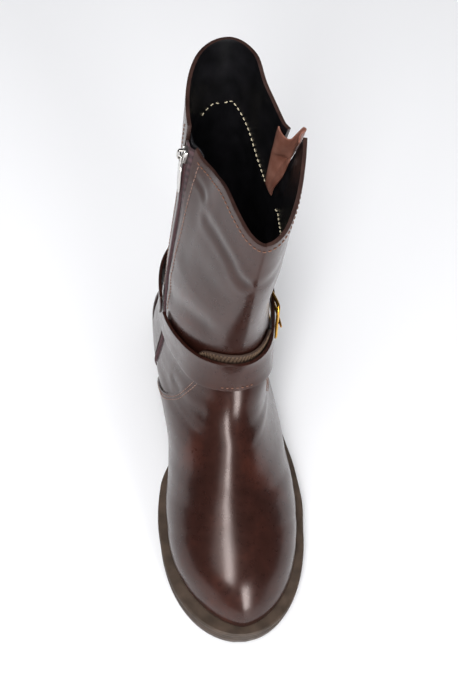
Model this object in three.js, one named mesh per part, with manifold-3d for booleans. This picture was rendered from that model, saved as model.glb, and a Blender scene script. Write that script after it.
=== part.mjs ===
// A left ankle-strap boot with a side zip, women's size 38 (EU), standing empty on its sole.
// Millimetres, +Z up. The toe points to -Y and the wearer's outer (lateral) side is +X.
// The origin is on the floor, under the middle of the boot's box.

import * as THREE from 'three';
import { mergeVertices } from 'three/addons/utils/BufferGeometryUtils.js';
import Module from 'manifold-3d';

const wasm = await Module();
wasm.setup();

// Driving sizes

const soleLength = 272;
const heelHeight = 35;
const heelLength = 78;
const toeCapDepth = 66;
const heelCapDepth = 27;
const heelCapSquareness = 3;
const wall = 2.2;
const seatGap = 0.3;
const insoleThickness = 3;
const frontY = -soleLength / 2;
const backY = soleLength / 2;
const breastY = backY - heelLength;

// Plan of the sole: where its middle runs, its half width, and the ledge left outside the upper.

const solePlan = [
  { y: frontY, middle: -4.0, half: 45.2, ledge: 12.0 },
  { y: -100, middle: -3.4, half: 45.4, ledge: 11.4 },
  { y: -72, middle: -2.0, half: 46.4, ledge: 9.4 },
  { y: -50, middle: -0.2, half: 48.1, ledge: 7.6 },
  { y: -25, middle: 2.0, half: 45.6, ledge: 5.4 },
  { y: 0, middle: 6.6, half: 37.6, ledge: 3.0 },
  { y: 25, middle: 8.6, half: 32.0, ledge: 2.0 },
  { y: 50, middle: 6.8, half: 30.8, ledge: 1.6 },
  { y: 75, middle: 4.2, half: 31.0, ledge: 1.8 },
  { y: 100, middle: 2.4, half: 31.0, ledge: 2.6 },
  { y: backY, middle: 1.4, half: 31.0, ledge: 3.2 },
];

// Side view of the sole: its upper face and its underside, with toe spring and arch.

const soleProfile = [
  { y: frontY, top: 17.4, under: 3.4 },
  { y: -118, top: 15.7, under: 1.4 },
  { y: -98, top: 14.9, under: 0.3 },
  { y: -80, top: 14.6, under: 0 },
  { y: -50, top: 14.6, under: 0 },
  { y: -20, top: 16.0, under: 0 },
  { y: 0, top: 17.8, under: 1.4 },
  { y: 20, top: 20.2, under: 5.4 },
  { y: 40, top: 22.9, under: 9.6 },
  { y: breastY, top: 25.6, under: 12.4 },
  { y: 97, top: 31.2, under: 18.0 },
  { y: backY, top: heelHeight, under: 22.0 },
];

// The upper as a fan of sections, from the collar down to the feather line round the toe.
// Each runs from a point on the front line (yTop, zTop) to one on the back line or the sole
// (yEnd, zEnd); medial and lateral are its half widths, from a middle that runs from xTop to
// xEnd; wide says how far along it is widest, and roundIn and roundOut how full its front half
// is on the medial and on the lateral side.
// A section that ends onSole is open below, and stands on the feather line.

const sectionColumns = [
  'yTop', 'zTop', 'xTop', 'yEnd', 'zEnd', 'xEnd', 'medial', 'lateral', 'wide', 'roundIn', 'roundOut',
];
const onSole = undefined;
const sections = [
  [-19, 242, 9, 115, 269, 7, 29, 33, 0.53, 1.7, 1.8],
  [-17, 222, 8, 113, 240, 7, 31, 30, 0.52, 1.72, 1.85],
  [-14, 196, 7, 111, 205, 7, 33, 26.5, 0.5, 1.76, 1.95],
  [-10, 168, 6, 109, 168, 6, 35.5, 23, 0.5, 1.8, 2],
  [-6, 143, 5, 106.5, 134, 5, 37, 24.5, 0.49, 1.86, 2.05],
  [-5, 125, 4, 109.5, 108, 4, 37, 27.5, 0.48, 1.9, 2.1],
  [-9, 109, 3, 119, 84, 3, 36, 31, 0.5, 1.94, 2.15],
  [-17, 97, 2, 128, 62, 2, 36, 33.5, 0.56, 1.96, 2.2],
  [-25, 88, 0, 132.4, 44, 2, 37, 34, 0.62, 1.96, 2.2],
  [-32, 82.5, -1, 132.6, onSole, onSole, 37.5, 34, 0.66, 1.96, 2.2],
  [-38, 79, -1, 122, onSole, onSole, 38, 34, 0.7, 1.96, 2.2],
  [-45, 75, -2, 98, onSole, onSole, 39, 33.5, 0.75, 1.96, 2.2],
  [-52, 71.5, -3, 68, onSole, onSole, 39.2, 33.5, 0.78, 1.98, 2.15],
  [-60, 67.5, -4, 34, onSole, onSole, 39.6, 33.4, 0.8, 2, 2.1],
  [-69, 63.5, -5, 0, onSole, onSole, 40.2, 35.6, 0.8, 2.02, 2.05],
  [-79, 59, -5.5, -32, onSole, onSole, 39.8, 40.2, 0.8, 2, 1.95],
  [-90, 54.5, -5.8, -56, onSole, onSole, 40.6, 40.4, 0.8, 1.96, 1.93],
  [-101, 49.5, -5.6, -71, onSole, onSole, 39.4, 38.8, 0.82, 1.9, 1.92],
  [-111, 43.5, -5.4, -79, onSole, onSole, 37.8, 37.2, 0.86, 1.84, 1.9],
  [-119, 36, -5.2, -83.5, onSole, onSole, 36.2, 35.9, 0.9, 1.76, 1.86],
  [-125.5, 28, -4.9, -87, onSole, onSole, 34.8, 34.7, 0.94, 1.68, 1.8],
  [-128.6, 21.5, -4.6, -89.5, onSole, onSole, 33.6, 33.6, 0.97, 1.6, 1.75],
  [-129, 17.1, -4.5, -91, onSole, onSole, 32.6, 32.6, 0.99, 1.56, 1.72],
].map((row, place) => {
  const named = row.map((value, i) => [sectionColumns[i], value]);
  return { place, ...Object.fromEntries(named) };
});

// The collar, round from the front (0) to the back (1): how far its edge rises above its plain
// section, and how far it is pushed out from it.

const collarWave = {
  medial: [
    { turn: 0, rise: 2.4, push: 0 },
    { turn: 0.2, rise: 0.2, push: -3.5 },
    { turn: 0.3, rise: 1.1, push: -5.5 },
    { turn: 0.4, rise: 1.3, push: -7.2 },
    { turn: 0.45, rise: -0.8, push: -7.4 },
    { turn: 0.5, rise: -5.4, push: -7.5 },
    { turn: 0.58, rise: -8.5, push: -4 },
    { turn: 0.65, rise: 0, push: 1 },
    { turn: 0.75, rise: 0, push: 2.2 },
    { turn: 0.85, rise: 0, push: 2.5 },
    { turn: 1, rise: 0, push: 0 },
  ],
  lateral: [
    { turn: 0, rise: 2.4, push: 0 },
    { turn: 0.15, rise: 3, push: -0.5 },
    { turn: 0.3, rise: 4.5, push: -1.8 },
    { turn: 0.42, rise: 6.5, push: -2 },
    { turn: 0.57, rise: 8.5, push: -0.8 },
    { turn: 0.62, rise: 6.5, push: 0.5 },
    { turn: 0.645, rise: -4, push: -3 },
    { turn: 0.68, rise: -6, push: -8 },
    { turn: 0.76, rise: -4, push: -9.5 },
    { turn: 0.85, rise: 0.5, push: -5 },
    { turn: 1, rise: 0, push: 0 },
  ],
};

// Reading tables

// Smooth value of one column at a place given by another, with no overshoot between rows.
function column(rows, place, at, name) {
  const last = rows.length - 1;
  const forward = rows[last][place] > rows[0][place] ? 1 : -1;
  const q = Math.min(Math.max(at * forward, rows[0][place] * forward), rows[last][place] * forward);
  let i = 0;
  while (i < last - 1 && q > rows[i + 1][place] * forward) {
    i += 1;
  }
  const x = (k) => rows[k][place] * forward;
  const v = (k) => rows[k][name];
  const slope = (k) => (v(k + 1) - v(k)) / (x(k + 1) - x(k));
  const tangent = (k) => {
    if (k === 0 || k === last) {
      return slope(k === 0 ? 0 : last - 1);
    }
    const before = slope(k - 1);
    const after = slope(k);
    if (before * after <= 0) {
      return 0;
    }
    const a = x(k) - x(k - 1);
    const b = x(k + 1) - x(k);
    return (3 * (a + b)) / ((2 * b + a) / before + (b + 2 * a) / after);
  };
  const span = x(i + 1) - x(i);
  const u = (q - x(i)) / span;
  const u2 = u * u;
  const u3 = u2 * u;
  return (2 * u3 - 3 * u2 + 1) * v(i) + (u3 - 2 * u2 + u) * span * tangent(i)
    + (3 * u2 - 2 * u3) * v(i + 1) + (u3 - u2) * span * tangent(i + 1);
}

const soleTop = (y) => column(soleProfile, 'y', y, 'top');
const soleUnder = (y) => column(soleProfile, 'y', y, 'under');

// Half width and middle of the plan at y, drawn in by inset, with round ends at toe and heel.
function planAt(y, inset) {
  const toeEnd = frontY + inset;
  const heelEnd = backY - inset;
  let share = 1;
  if (y < toeEnd + toeCapDepth) {
    const u = Math.min((toeEnd + toeCapDepth - y) / toeCapDepth, 1);
    share = Math.sqrt(1 - u * u);
  }
  if (y > heelEnd - heelCapDepth) {
    const u = Math.min((y - heelEnd + heelCapDepth) / heelCapDepth, 1);
    share = Math.pow(1 - Math.pow(u, heelCapSquareness), 1 / heelCapSquareness);
  }
  const half = (column(solePlan, 'y', y, 'half') - inset) * share;
  return { middle: column(solePlan, 'y', y, 'middle'), half };
}

// The feather line, where the upper meets the sole's upper face.
const featherAt = (y) => planAt(y, column(solePlan, 'y', y, 'ledge'));

// Places from heel to toe, closer together near both round ends.
function alongSole(insetAt, count) {
  const ends = { toe: frontY + insetAt(frontY), heel: backY - insetAt(backY) };
  const middle = (ends.toe + ends.heel) / 2;
  const reach = (ends.heel - ends.toe) / 2;
  return Array.from({ length: count + 1 }, (_, i) => {
    const even = 1 - (2 * i) / count;
    const eased = Math.sin((even * Math.PI) / 2);
    return middle + reach * (0.35 * even + 0.65 * eased);
  });
}

// Closed loop of the plan, from the heel round by the medial side to the toe and back.
function planLoop(insetAt, count, height) {
  const ys = alongSole(insetAt, count);
  const side = (sign, list) => list.map((y) => {
    const plan = planAt(y, insetAt(y));
    return [plan.middle + sign * plan.half, y, height(y)];
  });
  return [...side(-1, ys), ...side(1, ys.slice(1, -1).reverse())];
}

// Making solids

function toGeometry(points, faces) {
  const raw = new THREE.BufferGeometry();
  raw.setAttribute('position', new THREE.Float32BufferAttribute(points.flat(), 3));
  raw.setIndex(faces.flat());
  const merged = mergeVertices(raw, 1e-3);
  const index = merged.index.array;
  const kept = [];
  for (let i = 0; i < index.length; i += 3) {
    const [a, b, c] = index.slice(i, i + 3);
    if (a !== b && b !== c && c !== a) {
      kept.push(a, b, c);
    }
  }
  merged.setIndex(kept);
  return merged;
}

function toSolid(geometry) {
  const bare = new THREE.BufferGeometry();
  bare.setAttribute('position', geometry.getAttribute('position'));
  bare.setIndex(geometry.index);
  const merged = mergeVertices(bare, 1e-3);
  const solid = new wasm.Manifold(new wasm.Mesh({
    numProp: 3,
    vertProperties: new Float32Array(merged.getAttribute('position').array),
    triVerts: new Uint32Array(merged.index.array),
  }));
  if (solid.volume() <= 0) {
    throw new Error(`a form is open or inside out: ${solid.volume()}`);
  }
  return solid;
}

// The largest body of a cut, without the loose slivers.
function largest(solid) {
  const bodies = solid.decompose();
  return bodies.reduce((best, body) => (body.volume() > best.volume() ? body : best));
}

function fromSolid(solid) {
  const mesh = solid.getMesh();
  const geometry = new THREE.BufferGeometry();
  const positions = new Float32Array(mesh.vertProperties);
  geometry.setAttribute('position', new THREE.BufferAttribute(positions, 3));
  geometry.setIndex(new THREE.BufferAttribute(new Uint32Array(mesh.triVerts), 1));
  geometry.computeVertexNormals();
  return geometry;
}

// Stack of closed loops with equal counts, capped at both ends by fans.
function stackSolid(loops) {
  const count = loops[0].length;
  const points = loops.flat();
  const faces = [];
  for (let k = 0; k < loops.length - 1; k += 1) {
    for (let i = 0; i < count; i += 1) {
      const a = k * count + i;
      const b = k * count + ((i + 1) % count);
      faces.push([a, b, b + count], [a, b + count, a + count]);
    }
  }
  const half = count / 2;
  const top = (loops.length - 1) * count;
  for (let i = 0; i < half; i += 1) {
    const a = i;
    const b = i + 1;
    const c = (count - i) % count;
    const d = (count - i - 1) % count;
    faces.push([a, c, d], [a, d, b], [top + a, top + d, top + c], [top + a, top + b, top + d]);
  }
  return toSolid(toGeometry(points, faces));
}

// Solid from a flat outline in the side view (y, z), from one x to another.
function sideExtrusion(outline, fromX, toX) {
  const shape = new THREE.Shape(outline.map(([y, z]) => new THREE.Vector2(y, z)));
  const geometry = new THREE.ExtrudeGeometry(shape, { depth: toX - fromX, bevelEnabled: false });
  geometry.deleteAttribute('normal');
  geometry.deleteAttribute('uv');
  const place = new THREE.Matrix4().set(0, 0, 1, fromX, 1, 0, 0, 0, 0, 1, 0, 0, 0, 0, 0, 1);
  geometry.applyMatrix4(place);
  return toSolid(toGeometry(toRows(geometry), toFaces(geometry)));
}

// Side-view rectangle.
const box = (fromY, toY, fromZ, toZ) => [[fromY, fromZ], [toY, fromZ], [toY, toZ], [fromY, toZ]];

function toRows(geometry) {
  const position = geometry.getAttribute('position');
  const row = (_, i) => [position.getX(i), position.getY(i), position.getZ(i)];
  return Array.from({ length: position.count }, row);
}

function toFaces(geometry) {
  const position = geometry.getAttribute('position');
  const inOrder = () => Array.from({ length: position.count }, (_, i) => i);
  const index = geometry.index ? Array.from(geometry.index.array) : inOrder();
  return Array.from({ length: index.length / 3 }, (_, i) => index.slice(3 * i, 3 * i + 3));
}

// The sole

// Side wall of the sole, read down from its upper face: how far each level stands in.
const soleWall = [
  { down: 0, inset: 0.9 },
  { down: 0.9, inset: 0 },
  { down: 2.3, inset: 0 },
  { down: 2.8, inset: 0.8 },
  { down: 3.4, inset: 0.8 },
  { down: 3.9, inset: 0 },
  { down: 5.1, inset: 0 },
  { down: 5.6, inset: 0.8 },
  { down: 6.2, inset: 0.8 },
  { down: 6.7, inset: 0.1 },
  { down: 14, inset: 0.3 },
  { down: 24, inset: 0.9 },
  { down: 60, inset: 1.6 },
];

// Lugs of the tread, left between grooves that run across the forefoot and the heel.
const tread = { width: 3, depth: 2.4, rim: 7 };
const treadGrooves = [-108, -96, -84, -72, -48, -36, -24, 70, 82, 112, 122];

function outsole() {
  const count = 30;
  const ring = (row) => planLoop(() => row.inset, count, (y) => soleTop(y) - row.down);
  const loops = soleWall.map(ring).reverse();
  const body = stackSolid(loops);
  const outline = [[frontY - 9, 60], [frontY - 9, soleUnder(frontY) + 5]];
  for (let y = frontY; y <= breastY - 4; y += 8) {
    outline.push([y, soleUnder(y)]);
  }
  outline.push([breastY, soleUnder(breastY)], [breastY + 4, 0], [backY + 9, 0], [backY + 9, 60]);
  const shaped = body.intersect(sideExtrusion(outline.reverse(), -80, 80));
  return treadGrooves.reduce((sole, y) => {
    const plan = planAt(y, tread.rim);
    const groove = box(y - tread.width / 2, y + tread.width / 2, -1, soleUnder(y) + tread.depth);
    return sole.subtract(sideExtrusion(groove, plan.middle - plan.half, plan.middle + plan.half));
  }, shaped);
}

function insole() {
  const inset = (y) => column(solePlan, 'y', y, 'ledge') + wall + 1.4;
  const count = 20;
  const levels = [seatGap, seatGap + insoleThickness];
  const slab = stackSolid(levels.map((up) => planLoop(inset, count, (y) => soleTop(y) + up)));
  return largest(slab.intersect(upperForm(-wall - 1, 0, 12)));
}

// The upper

const topSteps = 9;
const lowSteps = 5;
const sideSteps = topSteps + lowSteps;

const sectionAt = (place) => Object.fromEntries(
  sectionColumns
    .filter((name) => name !== 'zEnd' && name !== 'xEnd')
    .map((name) => [name, column(sections, 'place', place, name)]),
);
const lastClosed = sections.findIndex((row) => row.zEnd === undefined) - 1;
const backLine = sections.slice(0, lastClosed + 1).concat({
  ...sections[lastClosed + 1],
  zEnd: soleTop(sections[lastClosed + 1].yEnd) + seatGap,
  xEnd: featherAt(sections[lastClosed + 1].yEnd).middle,
});

// Point of the upper at a place along the fan and a turn round it: 0 is the front line and
// +1 or -1 the far end by the lateral or the medial side.
function upperPoint(place, turn) {
  const row = sectionAt(place);
  const closed = place <= lastClosed + 1;
  const end = { y: row.yEnd };
  let foot = 0;
  if (closed) {
    end.z = column(backLine, 'place', place, 'zEnd');
    end.x = column(backLine, 'place', place, 'xEnd');
  } else {
    const feather = featherAt(row.yEnd);
    end.z = soleTop(row.yEnd) + seatGap;
    end.x = feather.middle;
    foot = feather.half;
  }
  const side = turn < 0 ? -1 : 1;
  const reach = Math.abs(turn);
  const widest = Math.max(turn < 0 ? row.medial : row.lateral, foot + 0.2);
  const round = turn < 0 ? row.roundIn : row.roundOut;
  const split = topSteps / sideSteps;
  let along;
  let out;
  if (reach <= split) {
    const angle = (reach / split) * (Math.PI / 2);
    along = row.wide * (1 - Math.pow(Math.max(Math.cos(angle), 0), 2 / round));
    out = widest * Math.pow(Math.sin(angle), 2 / round);
  } else {
    const angle = ((reach - split) / (1 - split)) * (Math.PI / 2);
    along = row.wide + (1 - row.wide) * Math.sin(angle);
    out = foot + (widest - foot) * Math.cos(angle);
  }
  let z = row.zTop + (end.z - row.zTop) * along;
  if (place < 3) {
    const fade = Math.pow(1 - place / 3, 2);
    const wave = turn < 0 ? collarWave.medial : collarWave.lateral;
    z += fade * column(wave, 'turn', reach, 'rise');
    out += Math.sqrt(fade) * column(wave, 'turn', reach, 'push');
  }
  return new THREE.Vector3(
    row.xTop + (end.x - row.xTop) * along + side * out,
    row.yTop + (end.y - row.yTop) * along,
    z,
  );
}

// Outward normal there, from small steps along the surface.
function upperNormal(place, turn) {
  const last = sections.length - 1;
  const step = 0.02;
  const nearTurn = Math.min(Math.max(turn, -1 + step), 1 - step);
  const nearPlace = Math.min(Math.max(place, step), last - step);
  const along = upperPoint(nearPlace + step, nearTurn).sub(upperPoint(nearPlace - step, nearTurn));
  const round = upperPoint(nearPlace, nearTurn + step).sub(upperPoint(nearPlace, nearTurn - step));
  return along.cross(round).normalize();
}

// Rings of the upper's mesh: whole and half sections, with fewer where it hardly changes.
const places = [];
for (let i = 0; i < sections.length - 1; i += 1) {
  places.push(i);
  const plain = i > 1 && i < 4;
  const closeSet = i > sections.length - 6;
  if (!plain && !closeSet) {
    places.push(i + 0.5);
  }
}
places.push(sections.length - 1);

// Closed solid of the upper's form, grown or shrunk along its normals by offset, which is a
// distance or a function that gives one for each point.
function upperForm(offset, extendUp, extendDown) {
  const rings = places.map((place) => {
    const ring = [];
    for (let j = -sideSteps; j <= sideSteps; j += 1) {
      const turn = j / sideSteps;
      const point = upperPoint(place, turn);
      const distance = typeof offset === 'function' ? offset(point, turn) : offset;
      ring.push(point.addScaledVector(upperNormal(place, turn), distance));
    }
    if (place <= lastClosed + 1) {
      const seam = ring[0].clone().add(ring[ring.length - 1]).multiplyScalar(0.5);
      ring[0] = seam;
      ring[ring.length - 1] = seam.clone();
    }
    return ring;
  });
  if (extendUp > 0) {
    rings.unshift(rings[0].map((p) => p.clone().setZ(p.z + extendUp)));
  }
  const count = rings[0].length;
  const points = rings.flat().map((p) => p.toArray());
  const faces = [];
  for (let i = 0; i < rings.length - 1; i += 1) {
    for (let j = 0; j < count - 1; j += 1) {
      const a = i * count + j;
      faces.push([a, a + count, a + 1], [a + 1, a + count, a + count + 1]);
    }
  }
  const low = points.length;
  rings.forEach((ring) => {
    points.push(ring[0].clone().setZ(ring[0].z - extendDown).toArray());
    points.push(ring[count - 1].clone().setZ(ring[count - 1].z - extendDown).toArray());
  });
  const firstOpen = rings.findIndex((ring) => ring[0].distanceTo(ring[count - 1]) > 0.01);
  for (let i = firstOpen - 1; i < rings.length - 1; i += 1) {
    const a = i * count;
    const b = i * count + count - 1;
    const la = low + 2 * i;
    if (extendDown > 0) {
      faces.push([a, la, la + 2], [a, la + 2, a + count]);
      faces.push([b, la + 3, la + 1], [b, b + count, la + 3]);
      faces.push([la, la + 1, la + 3], [la, la + 3, la + 2]);
    } else {
      faces.push([a, b, b + count], [a, b + count, a + count]);
    }
  }
  const cap = (ring, start, flip) => {
    const centre = ring.reduce((sum, p) => sum.add(p), new THREE.Vector3()).divideScalar(ring.length);
    points.push(centre.toArray());
    const hub = points.length - 1;
    for (let j = 0; j < count - 1; j += 1) {
      faces.push(flip ? [hub, start + j + 1, start + j] : [hub, start + j, start + j + 1]);
    }
    return hub;
  };
  cap(rings[0], 0, false);
  let floorRing = rings[rings.length - 1];
  let floorStart = (rings.length - 1) * count;
  if (extendDown > 0) {
    const edgeStart = floorStart;
    floorStart = points.length;
    floorRing = floorRing.map((p) => p.clone().setZ(p.z - extendDown));
    points.push(...floorRing.map((p) => p.toArray()));
    for (let j = 0; j < count - 1; j += 1) {
      const a = edgeStart + j;
      const b = floorStart + j;
      faces.push([a, b, a + 1], [a + 1, b, b + 1]);
    }
  }
  const hub = cap(floorRing, floorStart, true);
  faces.push([hub, floorStart, floorStart + count - 1]);
  return toSolid(toGeometry(points, faces));
}

// Layer of the skin between two offsets, cut to an outline in the side view, from one x to another.
function patch(outline, inside, outside, fromX, toX) {
  const layer = upperForm(outside, 0, 0).subtract(upperForm(inside, 12, 12));
  return layer.intersect(sideExtrusion(outline, fromX, toX));
}

// Side-view outline of a band whose two edges are lists of [y, z], both read from front to back.
const band = (upperEdge, lowerEdge) => [...lowerEdge, ...upperEdge.slice().reverse()];

// Rear edge of the vamp, which laps over the quarters: a bow from under the strap to the heel.
const vampEdge = [
  [2, 112], [4.5, 92], [8, 76], [14.5, 63.5], [23, 54], [32.5, 47], [43, 40], [52, 30], [55, 20],
];
const vampLap = 1.3;

// The zip runs down the medial side; the slit opens the collar on the lateral one.
const zipLine = [
  { z: 262, y: 53.5 },
  { z: 240, y: 52.8 },
  { z: 200, y: 51.6 },
  { z: 160, y: 51 },
  { z: 120, y: 50.5 },
  { z: 80, y: 51.5 },
  { z: 50, y: 54.5 },
  { z: 36, y: 57 },
];
const zipTop = 248;
const zipFoot = 37;
const zipGap = 10;
const coilWidth = 4.6;
const tapeThickness = 0.9;
const tapeFace = -0.6;
const coilBase = tapeFace + seatGap;
const coilTop = 0.9;
const zipAt = (z) => column(zipLine, 'z', z, 'y');

// Side-view strip along the zip, of a width, from one height up to another.
function zipStrip(width, from, to) {
  const count = 9;
  const heights = Array.from({ length: count + 1 }, (_, i) => from + ((to - from) * i) / count);
  const edge = (side) => heights.map((z) => [zipAt(z) + (side * width) / 2, z]);
  return [...edge(1), ...edge(-1).reverse()];
}

// The slit: closed at its foot, and open in a wedge at the collar.
const slitEdges = [
  { z: 290, front: 32, rear: 57 },
  { z: 262, front: 39, rear: 56.8 },
  { z: 244, front: 47.5, rear: 58 },
  { z: 208, front: 58.4, rear: 59.6 },
];

// Side-view outline of the slit.
function slitWedge() {
  const edge = (side) => slitEdges.map((row) => [row[side], row.z]);
  return [...edge('rear').reverse(), ...edge('front')];
}

function upper() {
  const front = [[frontY - 9, 4], ...vampEdge.slice().reverse(), [frontY - 9, 112]];
  const vamp = upperForm(vampLap, 0, 0)
    .intersect(sideExtrusion(front, -90, 90))
    .subtract(sideExtrusion([[frontY - 9, 4], [backY, 4], ...featherLine(0.25).reverse()], -90, 90));
  return upperForm(0, 0, 0)
    .add(vamp)
    .subtract(upperForm(-wall, 12, 12))
    .subtract(sideExtrusion(zipStrip(zipGap, zipFoot, 290), -90, 0))
    .subtract(sideExtrusion(slitWedge(), 0, 90));
}

// Side view of the upper face of the sole, raised a little.
function featherLine(up) {
  return Array.from({ length: 36 }, (_, i) => {
    const y = frontY - 9 + ((backY - frontY + 9) * i) / 35;
    return [y, soleTop(y) + up];
  });
}

// The zip

function zipTape() {
  const width = zipGap - 2 * seatGap;
  const strip = zipStrip(width, zipFoot + seatGap, zipTop);
  return patch(strip, tapeFace - tapeThickness, tapeFace, -90, 0);
}

function zipCoil() {
  const top = slider.z - slider.halfHeight - seatGap;
  return patch(zipStrip(coilWidth, zipFoot + 2, top), coilBase, coilTop, -90, 0);
}

// Point of the skin at a place in the side view, pushed out by a distance.
function skin(side, y, z, out) {
  let place = z > 140 ? 3 : 6;
  let turn = side * 0.55;
  for (let k = 0; k < 40; k += 1) {
    const here = upperPoint(place, turn);
    const step = 0.01;
    const byPlace = upperPoint(place + step, turn).sub(here).divideScalar(step);
    const byTurn = upperPoint(place, turn + step).sub(here).divideScalar(step);
    const dy = y - here.y;
    const dz = z - here.z;
    const det = byPlace.y * byTurn.z - byPlace.z * byTurn.y;
    place += 0.7 * ((dy * byTurn.z - dz * byTurn.y) / det);
    turn += 0.7 * ((byPlace.y * dz - byPlace.z * dy) / det);
    place = Math.min(Math.max(place, 0), 12);
    turn = side > 0 ? Math.min(Math.max(turn, 0.02), 0.97) : Math.max(Math.min(turn, -0.02), -0.97);
  }
  return upperPoint(place, turn).addScaledVector(upperNormal(place, turn), out);
}

// The ankle strap: the front part from the zip round the instep and through the buckle, and the
// rear part from the zip round the heel to the buckle's bar.

const strapThickness = 2;
const frontUpper = [
  [-24, 129], [-9, 126.5], [6, 123], [25, 118.5], [46, 114.5], [66, 114], [76, 111], [84, 101],
];
const frontLower = [
  [-24, 104], [-14, 103.5], [-1, 98.5], [22, 94], [46, 89.5], [66, 88.5], [76, 91], [84, 101],
];
const rearUpper = [[40, 115], [62, 116], [80, 115.5], [98, 114.5], [140, 113]];
const rearLower = [[40, 89], [62, 90], [80, 89.5], [98, 88.5], [140, 87]];
const edgeHeight = (edge, y) => column(edge.map(([at, z]) => ({ at, z })), 'at', y, 'z');

// How far a strap stands off the skin: close at its lower edge and lifting towards its upper one.
function lift(lower, upperEdge, close, open) {
  return (point, turn) => {
    const low = edgeHeight(lower, point.y);
    const high = edgeHeight(upperEdge, point.y);
    const share = Math.min(Math.max((point.z - low) / (high - low), 0), 1.2);
    return close + (open(turn) - close) * share;
  };
}

const liftTable = [
  { turn: -1, rear: 3, front: 1 },
  { turn: -0.8, rear: 3.2, front: 1 },
  { turn: -0.64, rear: 1.2, front: 1 },
  { turn: -0.3, rear: 1.2, front: 2.4 },
  { turn: 0, rear: 1.2, front: 2.8 },
  { turn: 0.3, rear: 1, front: 2 },
  { turn: 0.5, rear: 1, front: 1.6 },
  { turn: 0.8, rear: 2.6, front: 4 },
  { turn: 1, rear: 3, front: 4 },
];
const rearStandOff = (turn) => column(liftTable, 'turn', turn, 'rear');
const frontStandOff = (turn) => column(liftTable, 'turn', turn, 'front');
const rearLift = lift(rearLower, rearUpper, 0.5, rearStandOff);
const plainFrontLift = lift(frontLower, frontUpper, 0.4, frontStandOff);

// Past the buckle's bar the front strap's end lies on the rear strap.
const buckle = {
  y: 46,
  z: 101.5,
  length: 22,
  height: 33,
  rod: 1.15,
  prong: 0.85,
  holeFrom: 47,
  holeTo: 59.5,
  holeHalf: 2.2,
};
const overLap = strapThickness + seatGap + 0.2;
function frontLift(point, turn) {
  const onVamp = Math.min(Math.max((18 - point.y) / 14, 0), 1);
  const base = plainFrontLift(point, turn) + vampLap * onVamp;
  if (turn < 0) {
    return base;
  }
  const share = Math.min(Math.max((point.y - buckle.y + 4) / 12, 0), 1);
  return base * (1 - share) + (rearLift(point, turn) + overLap) * share;
}

function strapSkin(distance, y, z, more) {
  const turn = 0.6;
  return skin(1, y, z, distance(new THREE.Vector3(0, y, z), turn) + more);
}
const frontSkin = (y, z, more) => strapSkin(frontLift, y, z, more);
const rearSkin = (y, z, more) => strapSkin(rearLift, y, z, more);

const addTo = (distance, more) => (point, turn) => distance(point, turn) + more;

function strapFront() {
  const aheadOfZip = box(-60, zipAt(100) - zipGap / 2 - 1, 60, 140);
  const outline = band(frontUpper, frontLower);
  const all = patch(outline, frontLift, addTo(frontLift, strapThickness), -90, 90);
  const medial = all.intersect(sideExtrusion(aheadOfZip, -90, 0));
  const { holeFrom, holeTo, holeHalf, z } = buckle;
  const hole = sideExtrusion(box(holeFrom, holeTo, z - holeHalf, z + holeHalf), 0, 90);
  return medial.add(all.intersect(sideExtrusion(box(-60, 99, 60, 140), -0.01, 90))).subtract(hole);
}

function strapRear() {
  const outline = band(rearUpper, rearLower);
  const all = patch(outline, rearLift, addTo(rearLift, strapThickness), -90, 90);
  const behindZip = zipAt(100) + zipGap / 2 + 1;
  const behindBar = buckle.y + buckle.length / 2 + buckle.rod + 3 * seatGap;
  const medial = all.intersect(sideExtrusion(box(behindZip, 150, 60, 140), -90, 0));
  return medial.add(all.intersect(sideExtrusion(box(behindBar, 150, 60, 140), -0.01, 90)));
}

// A rod that runs through points, closed into a ring or with flat ends.
function rod(points, radius, closed) {
  const curve = new THREE.CatmullRomCurve3(points, closed, 'centripetal');
  const steps = closed ? 36 : 10;
  const sides = 8;
  const loops = [];
  for (let i = 0; i <= steps - (closed ? 1 : 0); i += 1) {
    const centre = curve.getPointAt(i / steps);
    const ahead = curve.getTangentAt(i / steps);
    const across = new THREE.Vector3(1, 0, 0).addScaledVector(ahead, -ahead.x).normalize();
    const other = ahead.clone().cross(across);
    loops.push(Array.from({ length: sides }, (_, k) => {
      const angle = (2 * Math.PI * k) / sides;
      return centre.clone()
        .addScaledVector(across, radius * Math.cos(angle))
        .addScaledVector(other, radius * Math.sin(angle))
        .toArray();
    }));
  }
  if (!closed) {
    return stackSolid(loops);
  }
  const faces = [];
  loops.forEach((_, i) => {
    for (let k = 0; k < sides; k += 1) {
      const a = i * sides + k;
      const b = i * sides + ((k + 1) % sides);
      const c = ((i + 1) % loops.length) * sides + k;
      const d = ((i + 1) % loops.length) * sides + ((k + 1) % sides);
      faces.push([a, b, d], [a, d, c]);
    }
  });
  return toSolid(toGeometry(loops.flat(), faces));
}

// The buckle's frame, bent from one rod: its front bar lies over the front strap and its rear
// bar under it.
function buckleFrame() {
  const { y, z, length, height, rod: radius } = buckle;
  const low = z - height / 2;
  const high = z + height / 2;
  const over = (at, up) => frontSkin(at, up, strapThickness + seatGap + radius);
  const under = (at, up) => rearSkin(at, up, radius - 0.25);
  const front = y - length / 2;
  const rear = y + length / 2;
  const corner = 4;
  return rod([
    over(front, z - 6),
    over(front, low + corner),
    over(front + corner, low),
    under(rear - corner, low),
    under(rear, low + corner),
    under(rear, z),
    under(rear, high - corner),
    under(rear - corner, high),
    over(front + corner, high),
    over(front, high - corner),
    over(front, z + 6),
  ], radius, true);
}

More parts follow.
